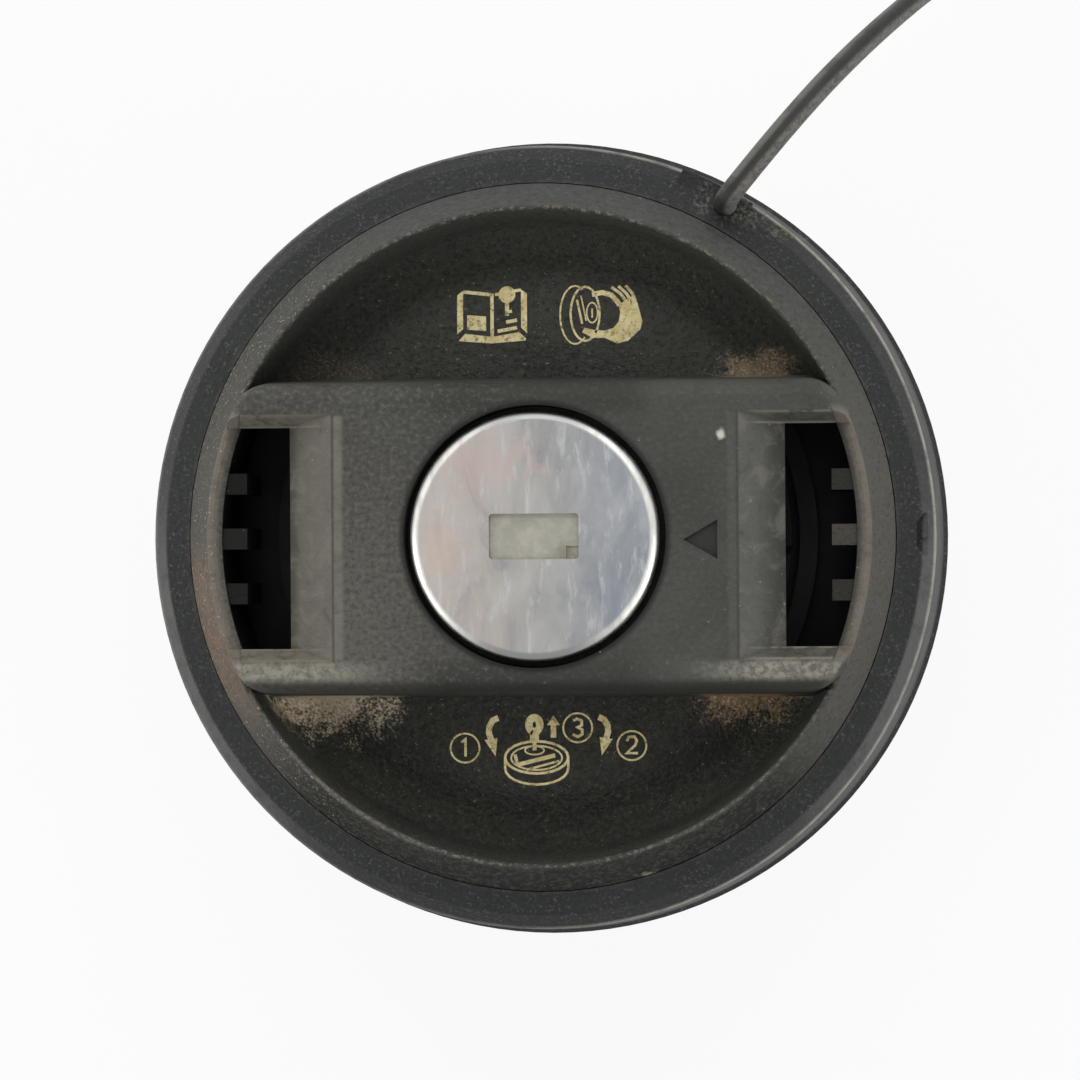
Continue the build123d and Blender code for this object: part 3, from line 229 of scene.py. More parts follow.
# ---------------------------------------------------------------- finishes
class CoverPaint(Paint):
    """The cover's paint, with the places and the noises that several of its layers use."""

    def __init__(self):
        super().__init__("cover_black")
        self.x, self.y, self.z = self.xyz()
        self.side_x = self.math("ABSOLUTE", self.x)
        self.side_y = self.math("ABSOLUTE", self.y)
        self.from_axis = self.radius()
        self.grain = self.noise(0.5 * MM, 3, 0.6)
        self.pebbles = self.noise(0.5 * MM, 4, 0.65)
        self.blotch = self.noise(8 * MM, 6, 0.62, 0.5)
        self.worn = self.noise(1.4 * MM, 6, 0.68)
        self.dusty = self.band(self.noise(0.34 * MM, 4, 0.7), 0.32, 0.5, 0.45, 1.0)
        self.in_pocket = self.all(
            self.band(self.z, RIM - 0.3 * MM, RIM - 0.8 * MM, 0.0, 1.0),
            self.band(self.from_axis, CREST_R - 0.35 * MM, CREST_R - 0.5 * MM, 0.0, 1.0),
            self.band(self.side_y, BAR_SIDE - 0.1 * MM, BAR_SIDE + 0.25 * MM),
        )

    def halves(self, right, left):
        """One value on the right half of the cap, another on the left."""
        return self.band(self.x, 0, -1 * MM, right, left)


def bar_layer(p):
    """Worn top of the grip bar, more so towards the left hand, with painted shade along its edge away
    from the tether.
    """
    colour = p.mix(p.band(p.blotch, 0.35, 0.68), tone(70, 70, 66), tone(80, 80, 76))
    leftward = p.all(
        p.band(p.x, -5 * MM, -18 * MM, 0.0, 1.0),
        p.band(p.y, 12 * MM, -8 * MM, 0.2, 1.0),
    )
    colour = p.mix(p.times(leftward, 0.75), colour, tone(101, 98, 92))
    beside_lock = p.all(
        p.band(p.side_x, 13 * MM, 8 * MM, 0.0, 1.0),
        p.band(p.side_y, 11 * MM, 13 * MM),
    )
    colour = p.mix(p.times(beside_lock, 0.8), colour, tone(60, 60, 57))
    rough_left = p.band(p.x, 4 * MM, -14 * MM, 0.35, 1.0)
    tops = p.times(p.band(p.grain, 0.5, 0.68), rough_left)
    colour = p.mix(p.times(tops, 0.5), colour, tone(112, 110, 103))
    dents = p.times(p.band(p.grain, 0.5, 0.34), rough_left)
    colour = p.mix(p.times(dents, 0.5), colour, tone(56, 56, 53))
    # Painted shade along the bar's rounded edge on the side away from the tether.
    bar_foot_shade = p.all(
        p.band(p.y, -BAR_SIDE + 1.2 * MM, -BAR_SIDE + 0.3 * MM, 0.0, 1.0),
        p.band(p.side_y, BAR_SIDE + 0.5 * MM, BAR_SIDE + 0.2 * MM, 0.0, 1.0),
    )
    return p.mix(p.times(bar_foot_shade, 0.7), colour, tone(42, 42, 39))


def rim_layer(p, colour):
    """The rim: worn, with a painted sheen, at both ends of the bar, and painted nearly black as shade
    opposite the tether; painted highlights and glints run along its crest.
    """
    rim = p.band(p.from_axis, CREST_R - 0.3 * MM, CREST_R + 0.1 * MM)
    # Painted shade darkens the rim opposite the tether; at both ends of the bar, wear and a painted sheen
    # lighten it.
    rim_colour = p.mix(p.band(p.y, -15 * MM, -27 * MM, 0.0, 1.0), tone(76, 77, 74), tone(34, 35, 31))
    hand_worn_and_sheen = p.all(p.band(p.side_x, 22 * MM, 31 * MM), p.band(p.y, 24 * MM, 4 * MM, 0.2, 1.0))
    rim_colour = p.mix(hand_worn_and_sheen, rim_colour, tone(88, 87, 82))
    brown = p.all(
        p.band(p.x, -20 * MM, -31 * MM, 0.0, 1.0),
        p.within(p.y, -17 * MM, -2 * MM, 4 * MM),
        p.band(p.worn, 0.3, 0.6, 0.3, 1.0),
    )
    rim_colour = p.mix(brown, rim_colour, tone(124, 108, 94))
    strands = p.band(p.noise(0.6 * MM, 4, 0.7, 0.6), 0.46, 0.62)
    rim_colour = p.mix(p.times(strands, 0.3), rim_colour, tone(106, 103, 96))
    dents = p.band(p.grain, 0.46, 0.34)
    rim_colour = p.mix(p.times(dents, 0.35), rim_colour, tone(40, 40, 37))
    colour = p.mix(rim, colour, rim_colour)
    # Painted highlight along the inner side of the crest, broken up by noise.
    crest_inner_highlight = p.all(
        p.within(p.from_axis, CREST_R - 0.75 * MM, CREST_R - 0.15 * MM, 0.15 * MM),
        p.band(p.z, RIM - 0.9 * MM, RIM - 0.5 * MM),
        p.band(p.noise(0.5 * MM, 4, 0.7), 0.5, 0.58),
        p.band(p.side_y, BAR_SIDE - 2 * MM, BAR_SIDE),
    )
    colour = p.mix(p.times(crest_inner_highlight, 0.75), colour, tone(128, 124, 114))
    # Painted highlight along the crest, strongest beside the windows, broken up by wear.
    at_windows = p.band(p.side_y, FUNNEL_SIDE - 0.3 * MM, FUNNEL_SIDE + 0.8 * MM, 1.0, 0.0)
    crest = p.all(
        p.within(p.from_axis, WINDOW_R + 0.1 * MM, CREST_R + 0.1 * MM, 0.1 * MM),
        p.band(p.z, RIM - 0.5 * MM, RIM - 0.1 * MM),
        p.band(p.worn, 0.3, 0.6, 0.5, 1.0),
        p.add(p.times(at_windows, 0.8), 0.1),
    )
    colour = p.mix(crest, colour, tone(124, 118, 108))
    # Painted glints on the inner side of the crest, on the left.
    glints = p.all(
        p.band(p.from_axis, CREST_R - 1.0 * MM, CREST_R - 0.3 * MM),
        p.band(p.x, -14 * MM, -26 * MM, 0.0, 1.0),
        p.band(p.noise(0.28 * MM, 2, 0.5), 0.64, 0.72),
    )
    return p.mix(glints, colour, tone(190, 170, 146))


def slope_layer(p, colour):
    """The slopes beside the windows: worn bright near the bar's top, painted darker with shade towards
    the windows and painted lighter on the left as if lit from there, with painted highlight lines and a
    painted shade line along their edges.
    """
    on_slope = p.all(
        p.band(p.side_x, FUNNEL_X - 0.05 * MM, FUNNEL_X + 0.1 * MM),
        p.band(p.side_y, FUNNEL_SIDE - 0.05 * MM, FUNNEL_SIDE + 0.05 * MM, 1.0, 0.0),
        p.band(p.from_axis, WINDOW_R - 0.1 * MM, WINDOW_R, 1.0, 0.0),
    )
    streaks = p.noise(2.4 * MM, 6, 0.68, 0.6)
    # Painted shade darkens each slope towards its window, and painted light brightens the left slopes;
    # the streaks are wear.
    downhill = p.band(p.side_x, FUNNEL_X + 1.2 * MM, WINDOW_X)
    slope_light_and_wear = p.mix(downhill, tone(97, 97, 93), tone(64, 64, 61))
    slope_light_and_wear = p.mix(p.halves(0.0, 0.7), slope_light_and_wear, tone(114, 110, 102))
    left_foot = p.all(p.band(p.side_x, WINDOW_X - 1.3 * MM, WINDOW_X), p.halves(0.0, 0.8))
    slope_light_and_wear = p.mix(left_foot, slope_light_and_wear, tone(70, 67, 59))
    slope_light_and_wear = p.mix(p.times(p.band(streaks, 0.48, 0.68), 0.4), slope_light_and_wear, tone(132, 129, 118))
    slope_light_and_wear = p.mix(p.times(p.band(streaks, 0.46, 0.32), 0.4), slope_light_and_wear, tone(60, 58, 52))
    # Painted highlights: two thin bright lines along each long side of the slopes, where a small step
    # would catch the light.
    upper_line = p.within(p.side_y, FUNNEL_SIDE - 0.25 * MM, FUNNEL_SIDE - 0.02 * MM, 0.06 * MM)
    lower_line = p.within(p.side_y, FUNNEL_SIDE - 1.25 * MM, FUNNEL_SIDE - 1.05 * MM, 0.06 * MM)
    lines = p.all(
        p.math("MAXIMUM", upper_line, lower_line),
        p.band(p.worn, 0.35, 0.55, 0.2, 1.0),
        p.band(p.side_x, FUNNEL_X + 0.5 * MM, FUNNEL_X + 2 * MM),
    )
    slope_light_and_wear = p.mix(lines, slope_light_and_wear, tone(136, 131, 119))
    colour = p.mix(on_slope, colour, slope_light_and_wear)
    shoulder = p.all(
        p.within(p.side_x, FUNNEL_X - 1.0 * MM, FUNNEL_X - 0.1 * MM, 0.25 * MM),
        p.band(p.side_y, FUNNEL_SIDE - 0.4 * MM, FUNNEL_SIDE, 1.0, 0.0),
        p.halves(0.25, 1.0),
        p.band(p.worn, 0.3, 0.6, 0.45, 0.95),
    )
    colour = p.mix(shoulder, colour, tone(120, 117, 109))
    ends = p.all(
        on_slope,
        p.band(p.side_y, FUNNEL_SIDE - 1.4 * MM, FUNNEL_SIDE - 0.9 * MM),
        p.halves(0.35, 1.0),
        p.band(p.worn, 0.35, 0.6, 0.2, 0.9),
    )
    colour = p.mix(ends, colour, tone(122, 117, 105))
    # Painted shade: a thin dark line where the slopes meet the bar's top.
    fold = p.all(
        p.within(p.side_x, FUNNEL_X - 0.15 * MM, FUNNEL_X + 0.12 * MM, 0.05 * MM),
        p.band(p.side_y, FUNNEL_SIDE, FUNNEL_SIDE + 0.1 * MM, 1.0, 0.0),
    )
    return p.mix(p.times(fold, 0.5), colour, tone(66, 65, 60))


def low_edge_layer(p, colour):
    """The edge of the bar's top opposite the tether, worn at both ends."""
    low_edge = p.all(
        p.within(p.y, -BAR_SIDE + 1.0 * MM, -FUNNEL_SIDE - 0.1 * MM, 0.4 * MM),
        p.band(p.side_x, FUNNEL_X - 7 * MM, FUNNEL_X + 2.5 * MM),
        p.band(p.z, BAR_TOP - 1.5 * MM, BAR_TOP - 0.5 * MM),
        p.band(p.noise(0.7 * MM, 5, 0.7, 0.4), 0.36, 0.62, 0.3, 1.0),
    )
    return p.mix(low_edge, colour, tone(152, 148, 136))


def pocket_layer(p, colour):
    """The pockets: black, with a painted highlight along the bar's foot."""
    floor = p.mix(p.band(p.blotch, 0.35, 0.7), tone(68, 69, 65), tone(79, 80, 75))
    # Painted light: rings round the axis lighten the floor's middle, its valley and its outer wall,
    # evening out their shade.
    mid_ring = p.within(p.from_axis, 19 * MM, 24 * MM, 1.5 * MM)
    floor = p.mix(p.times(mid_ring, 0.7), floor, tone(77, 77, 71))
    valley = p.band(p.from_axis, 24.5 * MM, 27 * MM)
    floor = p.mix(p.times(valley, 0.8), floor, tone(74, 75, 69))
    outer_wall = p.band(p.from_axis, 30.2 * MM, 31.2 * MM, 0.0, 0.7)
    floor = p.mix(outer_wall, floor, tone(82, 83, 78))
    floor = p.mix(p.band(p.y, 10 * MM, -10 * MM, 0.0, 0.5), floor, tone(50, 51, 46))
    clumps = p.band(p.noise(3.2 * MM, 6, 0.7), 0.36, 0.64, 0.1, 0.65)
    floor = p.mix(p.all(p.band(p.pebbles, 0.5, 0.62), clumps), floor, tone(86, 86, 78))
    floor = p.mix(p.times(p.band(p.pebbles, 0.5, 0.36), 0.5), floor, tone(40, 40, 37))
    glitter = p.band(p.noise(0.3 * MM, 2, 0.5), 0.68, 0.73)
    floor = p.mix(p.times(glitter, 0.6), floor, tone(150, 148, 136))
    colour = p.mix(p.in_pocket, colour, floor)
    # Painted highlight where the rounded foot of the bar catches the light.
    foot = p.all(
        p.within(p.side_y, BAR_SIDE + 0.35 * MM, BAR_SIDE + 0.75 * MM, 0.15 * MM),
        p.band(p.z, POCKET_FLOOR + 2.5 * MM, POCKET_FLOOR + 0.8 * MM, 0.0, 1.0),
        p.band(p.noise(3 * MM, 5, 0.7), 0.35, 0.65, 0.2, 0.9),
    )
    return p.mix(foot, colour, tone(84, 82, 74))


def dust_layer(p, colour):
    """Dust and rust washed into the pockets' corners, with painted glints, and a painted sheen over the
    first patch.
    """
    sparkle = p.band(p.noise(0.24 * MM, 2, 0.6), 0.56, 0.66)
    low = p.band(p.z, POCKET_FLOOR + 5 * MM, POCKET_FLOOR + 2 * MM, 0.0, 1.0)
    # (middle, half size) in mm, amount, tone, tone of the painted glints; the first patch is dust under a
    # painted sheen.
    for middle, half_size, amount, dust, glint in (
        ((-21.4, -15.2), (6.2, 4.2), 1.0, tone(236, 218, 190), tone(255, 250, 236)),
        ((20.2, -15.2), (4.8, 3.4), 1.0, tone(172, 148, 118), tone(246, 226, 190)),
        ((21.6, 15.8), (4.2, 2.6), 0.95, tone(166, 148, 124), tone(240, 226, 200)),
        ((-20.5, 16.6), (4.4, 2.0), 0.4, tone(110, 100, 84), tone(214, 190, 150)),
    ):
        settled = p.all(p.haze(middle, half_size), p.dusty, low)
        colour = p.mix(p.times(settled, amount), colour, p.mix(p.times(sparkle, 0.7), dust, glint))
    return colour


def opening_layer(p, colour):
    """The inside of the windows painted black as shade, with dust on the ribs; the lock's hole and a ring
    round it painted dark as shade; and the arrow's floor.
    """
    # Painted shade: the windows' inside is painted near black, and the ribs' dust is painted lighter on
    # the right ribs as if lit.
    inside = p.all(
        p.band(p.z, RIM - 0.3 * MM, RIM - 0.7 * MM, 0.0, 1.0),
        p.band(p.from_axis, WINDOW_R + 0.02 * MM, WINDOW_R + 0.06 * MM, 1.0, 0.0),
        p.band(p.side_y, BAR_SIDE - 2.0 * MM, BAR_SIDE - 1.5 * MM, 1.0, 0.0),
    )
    rib_dust_and_light = p.all(
        p.band(p.facing((0, 0, 1)), 0.8, 0.95),
        p.band(p.x, -2 * MM, 2 * MM, 0.1, 0.8),
        p.band(p.side_y, 1.5 * MM, 3.5 * MM, 1.0, 0.45),
        p.dusty,
    )
    colour = p.mix(inside, colour, p.mix(rib_dust_and_light, tone(15, 16, 16), tone(84, 81, 74)))
    # Painted shade: a dark ring round the lock's hole, then the hole's wall.
    lock_ring_shade = p.all(
        p.band(p.from_axis, LOCK_HOLE_R + 0.05 * MM, LOCK_HOLE_R + 0.75 * MM, 1.0, 0.0),
        p.band(p.z, BAR_TOP - 0.7 * MM, BAR_TOP - 0.4 * MM),
    )
    colour = p.mix(p.times(lock_ring_shade, 0.85), colour, tone(30, 30, 28))
    below_top = p.band(p.z, BAR_TOP - 0.2 * MM, BAR_TOP - 0.05 * MM, 1.0, 0.0)
    hole = p.all(
        p.band(p.from_axis, LOCK_HOLE_R - 0.1 * MM, LOCK_HOLE_R + 0.1 * MM, 1.0, 0.0),
        below_top,
    )
    colour = p.mix(hole, colour, tone(30, 30, 28))
    arrow = p.all(
        p.within(p.x, LOCK_HOLE_R + 1.4 * MM, LOCK_HOLE_R + 5.2 * MM, 0.1 * MM),
        p.band(p.side_y, 2.4 * MM, 2.5 * MM, 1.0, 0.0),
        below_top,
    )
    return p.mix(arrow, colour, tone(54, 56, 54))


def speck_layer(p, colour):
    """Loose specks all over, and two larger ones."""
    specks = p.band(p.noise(0.5 * MM, 2, 0.4), 0.755, 0.775)
    colour = p.mix(p.times(specks, 0.6), colour, tone(158, 150, 136))
    colour = p.mix(p.patch((18.1, 9.8), (0.6, 0.7), 0.3), colour, tone(208, 206, 196))
    return p.mix(p.patch((10.6, -33.4), (1.3, 0.45), 0.5), colour, tone(150, 142, 112))


def cover_finish():
    """Old moulded plastic: worn grey on what stands proud, with painted highlights, sheen and shade,
    black in the pockets, dust in corners.
    """
    p = CoverPaint()
    colour = bar_layer(p)
    for layer in (
        rim_layer, slope_layer, low_edge_layer, pocket_layer, dust_layer, opening_layer, speck_layer,
    ):
        colour = layer(p, colour)
    fine = p.noise(0.16 * MM, 2, 0.6)
    deep_grain = p.times(p.pebbles, p.add(p.times(p.in_pocket, 0.85), 0.15))
    p.bump((p.grain, 0.12 * MM), (deep_grain, 0.35 * MM), (fine, 0.02 * MM))
    return p.finish(colour, p.spread(p.blotch, 0.55, 0.68), specular=0.12)


def ring_finish():
    """Satin plastic with a coarse grain, worn along its shoulder towards both sides, where a painted
    sheen also lightens it, and with a painted highlight on the edge below.
    """
    p = Paint("ring_black")
    x, y, z = p.xyz()
    radius = p.radius()
    grain = p.noise(0.5 * MM, 4, 0.6)
    fine = p.noise(0.34 * MM, 3, 0.6)
    blotch = p.noise(12 * MM, 6, 0.62)
    worn = p.noise(2.2 * MM, 6, 0.7)
    colour = p.mix(p.band(blotch, 0.35, 0.7), tone(46, 47, 47), tone(53, 54, 54))
    colour = p.mix(p.band(grain, 0.5, 0.3, 0.0, 0.5), colour, tone(34, 35, 36))
    specked = p.times(p.band(fine, 0.54, 0.68), p.band(worn, 0.35, 0.65, 0.15, 0.7))
    colour = p.mix(specked, colour, tone(100, 101, 99))
    # Wear and a painted sheen lighten the shoulder towards both sides, most on the side away from the
    # tether.
    chamfer_wear_and_sheen = p.all(
        p.band(radius, SHOULDER_R, SHOULDER_R + 0.3 * MM),
        p.band(z, SEAM - 3.2 * MM, SEAM - 2.7 * MM),
        p.band(p.math("ABSOLUTE", x), 18 * MM, 34 * MM),
        p.band(y, 8 * MM, -6 * MM, 0.25, 1.0),
        p.band(worn, 0.25, 0.55, 0.5, 1.0),
    )
    colour = p.mix(chamfer_wear_and_sheen, colour, tone(98, 98, 97))
    # Painted highlight along the edge below the shoulder, strongest towards the right.
    edge = p.all(
        p.within(z, SEAM - 2.75 * MM, SEAM - 2.35 * MM, 0.15 * MM),
        p.band(worn, 0.3, 0.55, 0.4, 1.0),
        p.band(x, -10 * MM, 20 * MM, 0.3, 1.0),
    )
    colour = p.mix(edge, colour, tone(164, 161, 152))
    inner = p.band(radius, SEAM_R + 0.15 * MM, SEAM_R + 0.55 * MM, 1.0, 0.0)
    colour = p.mix(p.all(inner, p.band(worn, 0.4, 0.6, 0.0, 0.5)), colour, tone(78, 78, 74))
    # dried dirt round the tether's plug
    dirt = p.band(p.noise(0.5 * MM, 5, 0.7), 0.46, 0.62)
    for middle, half_size, dried in (
        ((20.6, 31.8), (3.0, 2.0), tone(120, 118, 104)),
        ((16.3, 33.0), (1.4, 1.8), tone(118, 114, 104)),
        ((24.6, 29.8), (2.6, 1.0), tone(116, 112, 98)),
    ):
        colour = p.mix(p.all(p.patch(middle, half_size), dirt), colour, dried)
    p.bump((grain, 0.2 * MM), (fine, 0.04 * MM))
    return p.finish(colour, p.spread(blotch, 0.46, 0.58), specular=0.14)


def rubber_finish():
    """Rubber with a painted highlight along its upper-left side, painted shade down its middle, and
    scuffs along its lower-right side.
    """
    p = Paint("tether_rubber")
    grain = p.noise(0.5 * MM, 5, 0.65)
    blotch = p.noise(2.6 * MM, 5, 0.65, 0.3)
    colour = p.mix(p.band(blotch, 0.35, 0.7), tone(46, 46, 44), tone(66, 65, 60))
    # Painted light and shade by which way the surface faces: a highlight on the upper-left side and a
    # dark line down the middle.
    lit_side_facing = p.facing((-0.6, 0.6, 0.53))
    scuffed_side = p.facing((0.62, -0.62, 0.48))
    core_shade = p.within(scuffed_side, 0.1, 0.55, 0.2)
    colour = p.mix(p.times(core_shade, 0.75), colour, tone(30, 30, 30))
    # Painted highlight along the upper-left side, broken up by blotches.
    dusty = p.all(p.band(lit_side_facing, 0.72, 0.95), p.band(blotch, 0.3, 0.55, 0.3, 1.0))
    colour = p.mix(p.times(dusty, 0.8), colour, tone(112, 110, 104))
    scuffed = p.all(p.band(scuffed_side, 0.55, 0.85), p.band(grain, 0.35, 0.6, 0.35, 1.0))
    colour = p.mix(p.times(scuffed, 0.9), colour, tone(122, 120, 114))
    p.bump((grain, 0.04 * MM), (blotch, 0.08 * MM))
    return p.finish(colour, 0.55, specular=0.3)


def face_finish():
    """Satin stainless sheet, smeared up and down, with painted reflections: warm on the left, cool on the
    right, and bright along the rounded edge at both sides.
    """
    p = Paint("lock_steel")
    x = p.xyz()[0]
    z = p.xyz()[2]
    radius = p.radius()
    smear = p.noise(6 * MM, 6, 0.65, 0.6, along=(1.5, 0.6, 1.0))
    strokes = p.noise(2.2 * MM, 5, 0.7, 0.4, along=(2.0, 0.45, 1.0))
    fine = p.noise(0.3 * MM, 4, 0.6, along=(2.5, 0.2, 1.0))
    # Painted reflections: warm pinkish towards the left, cool bluish towards the right.
    colour = p.mix(p.band(x, -9 * MM, 2 * MM), tone(174, 166, 160), tone(157, 156, 153))
    colour = p.mix(p.band(x, 0, 9 * MM), colour, tone(140, 144, 150))
    colour = p.mix(p.times(p.band(smear, 0.42, 0.66), 0.4), colour, tone(176, 176, 175))
    colour = p.mix(p.times(p.band(strokes, 0.52, 0.66), 0.5), colour, tone(188, 190, 192))
    colour = p.mix(p.times(p.band(smear, 0.47, 0.32), 0.45), colour, tone(124, 129, 142))
    # Painted reflections: two pinkish patches on the left.
    colour = p.mix(p.times(p.patch((-4.5, 7.2), (6.5, 4.0), 0.5), 0.45), colour, tone(184, 164, 158))
    colour = p.mix(p.times(p.patch((-9.3, -1.0), (2.6, 5.0), 0.5), 0.45), colour, tone(190, 172, 160))
    # Painted reflection along the rounded edge: bright at both sides, duller at top and bottom.
    edge = p.band(radius, FACE_R - 1.0 * MM, FACE_R - 0.65 * MM)
    sides = p.band(p.math("ABSOLUTE", x), 3 * MM, 10 * MM)
    bright = p.mix(p.band(strokes, 0.35, 0.6), tone(198, 197, 191), tone(222, 222, 217))
    colour = p.mix(edge, colour, p.mix(sides, tone(136, 137, 135), bright))
    slot_wall = p.band(z, face_high[2] - 0.12 * MM, face_high[2] - 0.02 * MM, 1.0, 0.0)
    inner = p.band(radius, 6 * MM, 7 * MM, 1.0, 0.0)
    colour = p.mix(p.times(slot_wall, inner), colour, tone(150, 148, 138))
    p.bump((fine, 0.003 * MM))
    return p.finish(colour, p.spread(smear, 0.28, 0.42), metallic=1.0)


def shutter_finish():
    """Dull grey-beige zinc, greasy towards its far corner."""
    p = Paint("shutter_steel")
    cloud = p.noise(1.8 * MM, 5, 0.6)
    colour = p.mix(p.band(cloud, 0.35, 0.68), tone(164, 162, 150), tone(182, 180, 170))
    colour = p.mix(p.times(p.patch((3.2, -1.3), (1.6, 1.4), 0.4), 0.7), colour, tone(132, 128, 112))
    p.bump((p.noise(0.3 * MM, 3), 0.01 * MM))
    return p.finish(colour, p.spread(cloud, 0.42, 0.6), metallic=0.2, specular=0.2)


def lock_cast_finish():
    """Grey zinc casting, painted dark as shade in the gap round the face."""
    p = Paint("lock_cast")
    cloud = p.noise(2 * MM, 5, 0.6)
    colour = p.mix(p.band(cloud, 0.35, 0.7), tone(136, 136, 134), tone(160, 160, 157))
    # Painted shade in the gap round the face.
    gap = p.band(p.radius(), FACE_R - 0.8 * MM, FACE_R - 0.6 * MM)
    colour = p.mix(gap, colour, tone(44, 44, 41))
    p.bump((p.noise(0.4 * MM, 3), 0.01 * MM))
    return p.finish(colour, p.spread(cloud, 0.5, 0.66), metallic=0.4, specular=0.2)


def metal_finish(name, dull, bright, roughness):
    """Plain metal between two tones."""
    p = Paint(name)
    cloud = p.noise(2 * MM, 5, 0.6)
    colour = p.mix(p.band(cloud, 0.35, 0.7), tone(*dull), tone(*bright))
    p.bump((p.noise(0.4 * MM, 3), 0.01 * MM))
    return p.finish(colour, p.spread(cloud, roughness - 0.08, roughness + 0.08), metallic=1.0)


def plastic_finish(name, dark, light, roughness):
    """Plain plastic or rubber between two tones."""
    p = Paint(name)
    cloud = p.noise(8 * MM, 5, 0.6)
    colour = p.mix(p.band(cloud, 0.35, 0.7), tone(*dark), tone(*light))
    p.bump((p.noise(0.5 * MM, 3), 0.02 * MM))
    return p.finish(colour, p.spread(cloud, roughness - 0.06, roughness + 0.06))


def inner_plastic_finish():
    """Black acetal, painted near black as shade where it is seen through the windows."""
    p = Paint("inner_plastic")
    z = p.xyz()[2]
    cloud = p.noise(8 * MM, 5, 0.6)
    colour = p.mix(p.band(cloud, 0.35, 0.7), tone(42, 42, 42), tone(54, 54, 53))
    # Painted shade on upward faces that are seen through the windows.
    window_shade = p.all(
        p.band(z, SEAM - 14.5 * MM, SEAM - 13.5 * MM),
        p.band(p.facing((0, 0, 1)), 0.2, 0.6),
    )
    colour = p.mix(window_shade, colour, tone(12, 13, 15))
    p.bump((p.noise(0.5 * MM, 3), 0.02 * MM))
    return p.finish(colour, p.spread(cloud, 0.5, 0.62), specular=0.2)


def ink_finish():
    """Cream pad print, worn through in places."""
    p = Paint("print_ink")
    wear = p.noise(0.5 * MM, 6, 0.78)
    tint = p.noise(1.6 * MM, 3, 0.6)
    colour = p.mix(p.band(tint, 0.35, 0.65), tone(250, 238, 186), tone(228, 208, 150))
    colour = p.mix(p.band(wear, 0.5, 0.66), colour, tone(132, 122, 88))
    return p.finish(colour, 0.6, specular=0.1)


finishes = {
    "cover_black": cover_finish(),
    "ring_black": ring_finish(),
    "tether_rubber": rubber_finish(),
    "lock_steel": face_finish(),
    "shutter_steel": shutter_finish(),
    "lock_cast": lock_cast_finish(),
    "lock_brass": metal_finish("lock_brass", (176, 140, 84), (206, 172, 112), 0.35),
    "spring_steel": metal_finish("spring_steel", (156, 156, 157), (182, 182, 182), 0.3),
    "zinc_screw": metal_finish("zinc_screw", (184, 182, 174), (208, 206, 198), 0.32),
    "inner_plastic": inner_plastic_finish(),
    "inner_white": plastic_finish("inner_white", (200, 196, 184), (214, 211, 200), 0.45),
    "seal_rubber": plastic_finish("seal_rubber", (32, 32, 32), (44, 44, 43), 0.7),
}
for entry in frame["record"]["subparts"]:
    node = frame["nodes"][entry["node"]]
    node.material_slots[0].material = finishes[entry["material_slot"]]


# ---------------------------------------------------------------- pictograms
# Drawn in millimetres about their own middle, seen from above: strokes are (points, width),
# fills are outlines. Every point is laid on the pocket floor under it.
PRINT_HEIGHT = 0.02 * MM    # pad-printed ink stands this proud
PRINT_STEP = 0.002 * MM     # every piece of a stroke lies this much above the one before,
PRINT_STEPS = 8             # and after so many they start again
PRINT_EDGE = 0.45 * MM      # longest edge, short enough to follow the cover
EDGE_HALVINGS = 4
OVAL_STEP = 15              # degrees from point to point round an oval
MITRE_LIMIT = 0.5           # a stroke's corners reach out at most twice as far as its sides
SAME_POINT = 1e-6           # a stroke whose ends are nearer than this is closed


def oval(middle, half_width, half_height, start=0, turn=360):
    """Points round an ellipse, or round a part of one."""
    count = max(6, round(abs(turn) / OVAL_STEP))
    angles = [math.radians(start + turn * i / count) for i in range(count + 1)]
    return [(middle[0] + half_width * math.cos(a), middle[1] + half_height * math.sin(a)) for a in angles]


BOOK = {
    "middle": (-5.0, 22.2),
    "strokes": [
        ([(-2.9, 2.35), (-0.1, 2.0)], 0.35),
        ([(0, 2.1), (0, -2.2)], 0.35),
        ([(1.5, 1.2), (1.5, -0.1)], 0.4),
        ([(1.5, 0.25), (2.0, 0.35)], 0.3),
        ([(1.4, -0.75), (2.5, -0.55)], 0.35),
        ([(0.55, -1.65), (2.5, -1.3)], 0.35),
        ([(0.3, 2.0), (0.9, 2.1)], 0.3),
        ([(2.2, 2.35), (2.9, 2.45)], 0.3),
    ],
    "fills": [
        [(-3.5, 2.0), (-2.9, 2.5), (-2.9, -1.4), (-3.5, -1.9)],
        [(-2.5, 0), (-0.6, -0.15), (-0.6, -1.6), (-2.5, -1.45)],
        [(-3.3, -2.5), (-2.7, -1.85), (0, -2.2), (0, -2.85), (-3.3, -2.6)],
        [(0, -2.2), (2.7, -1.75), (3.4, -2.4), (3.3, -2.6), (0, -2.85)],
        [(2.9, 2.5), (3.5, 2.1), (3.5, -1.9), (2.9, -1.3)],
        oval((1.5, 2.0), 0.85, 0.85)[:-1],
    ],
}
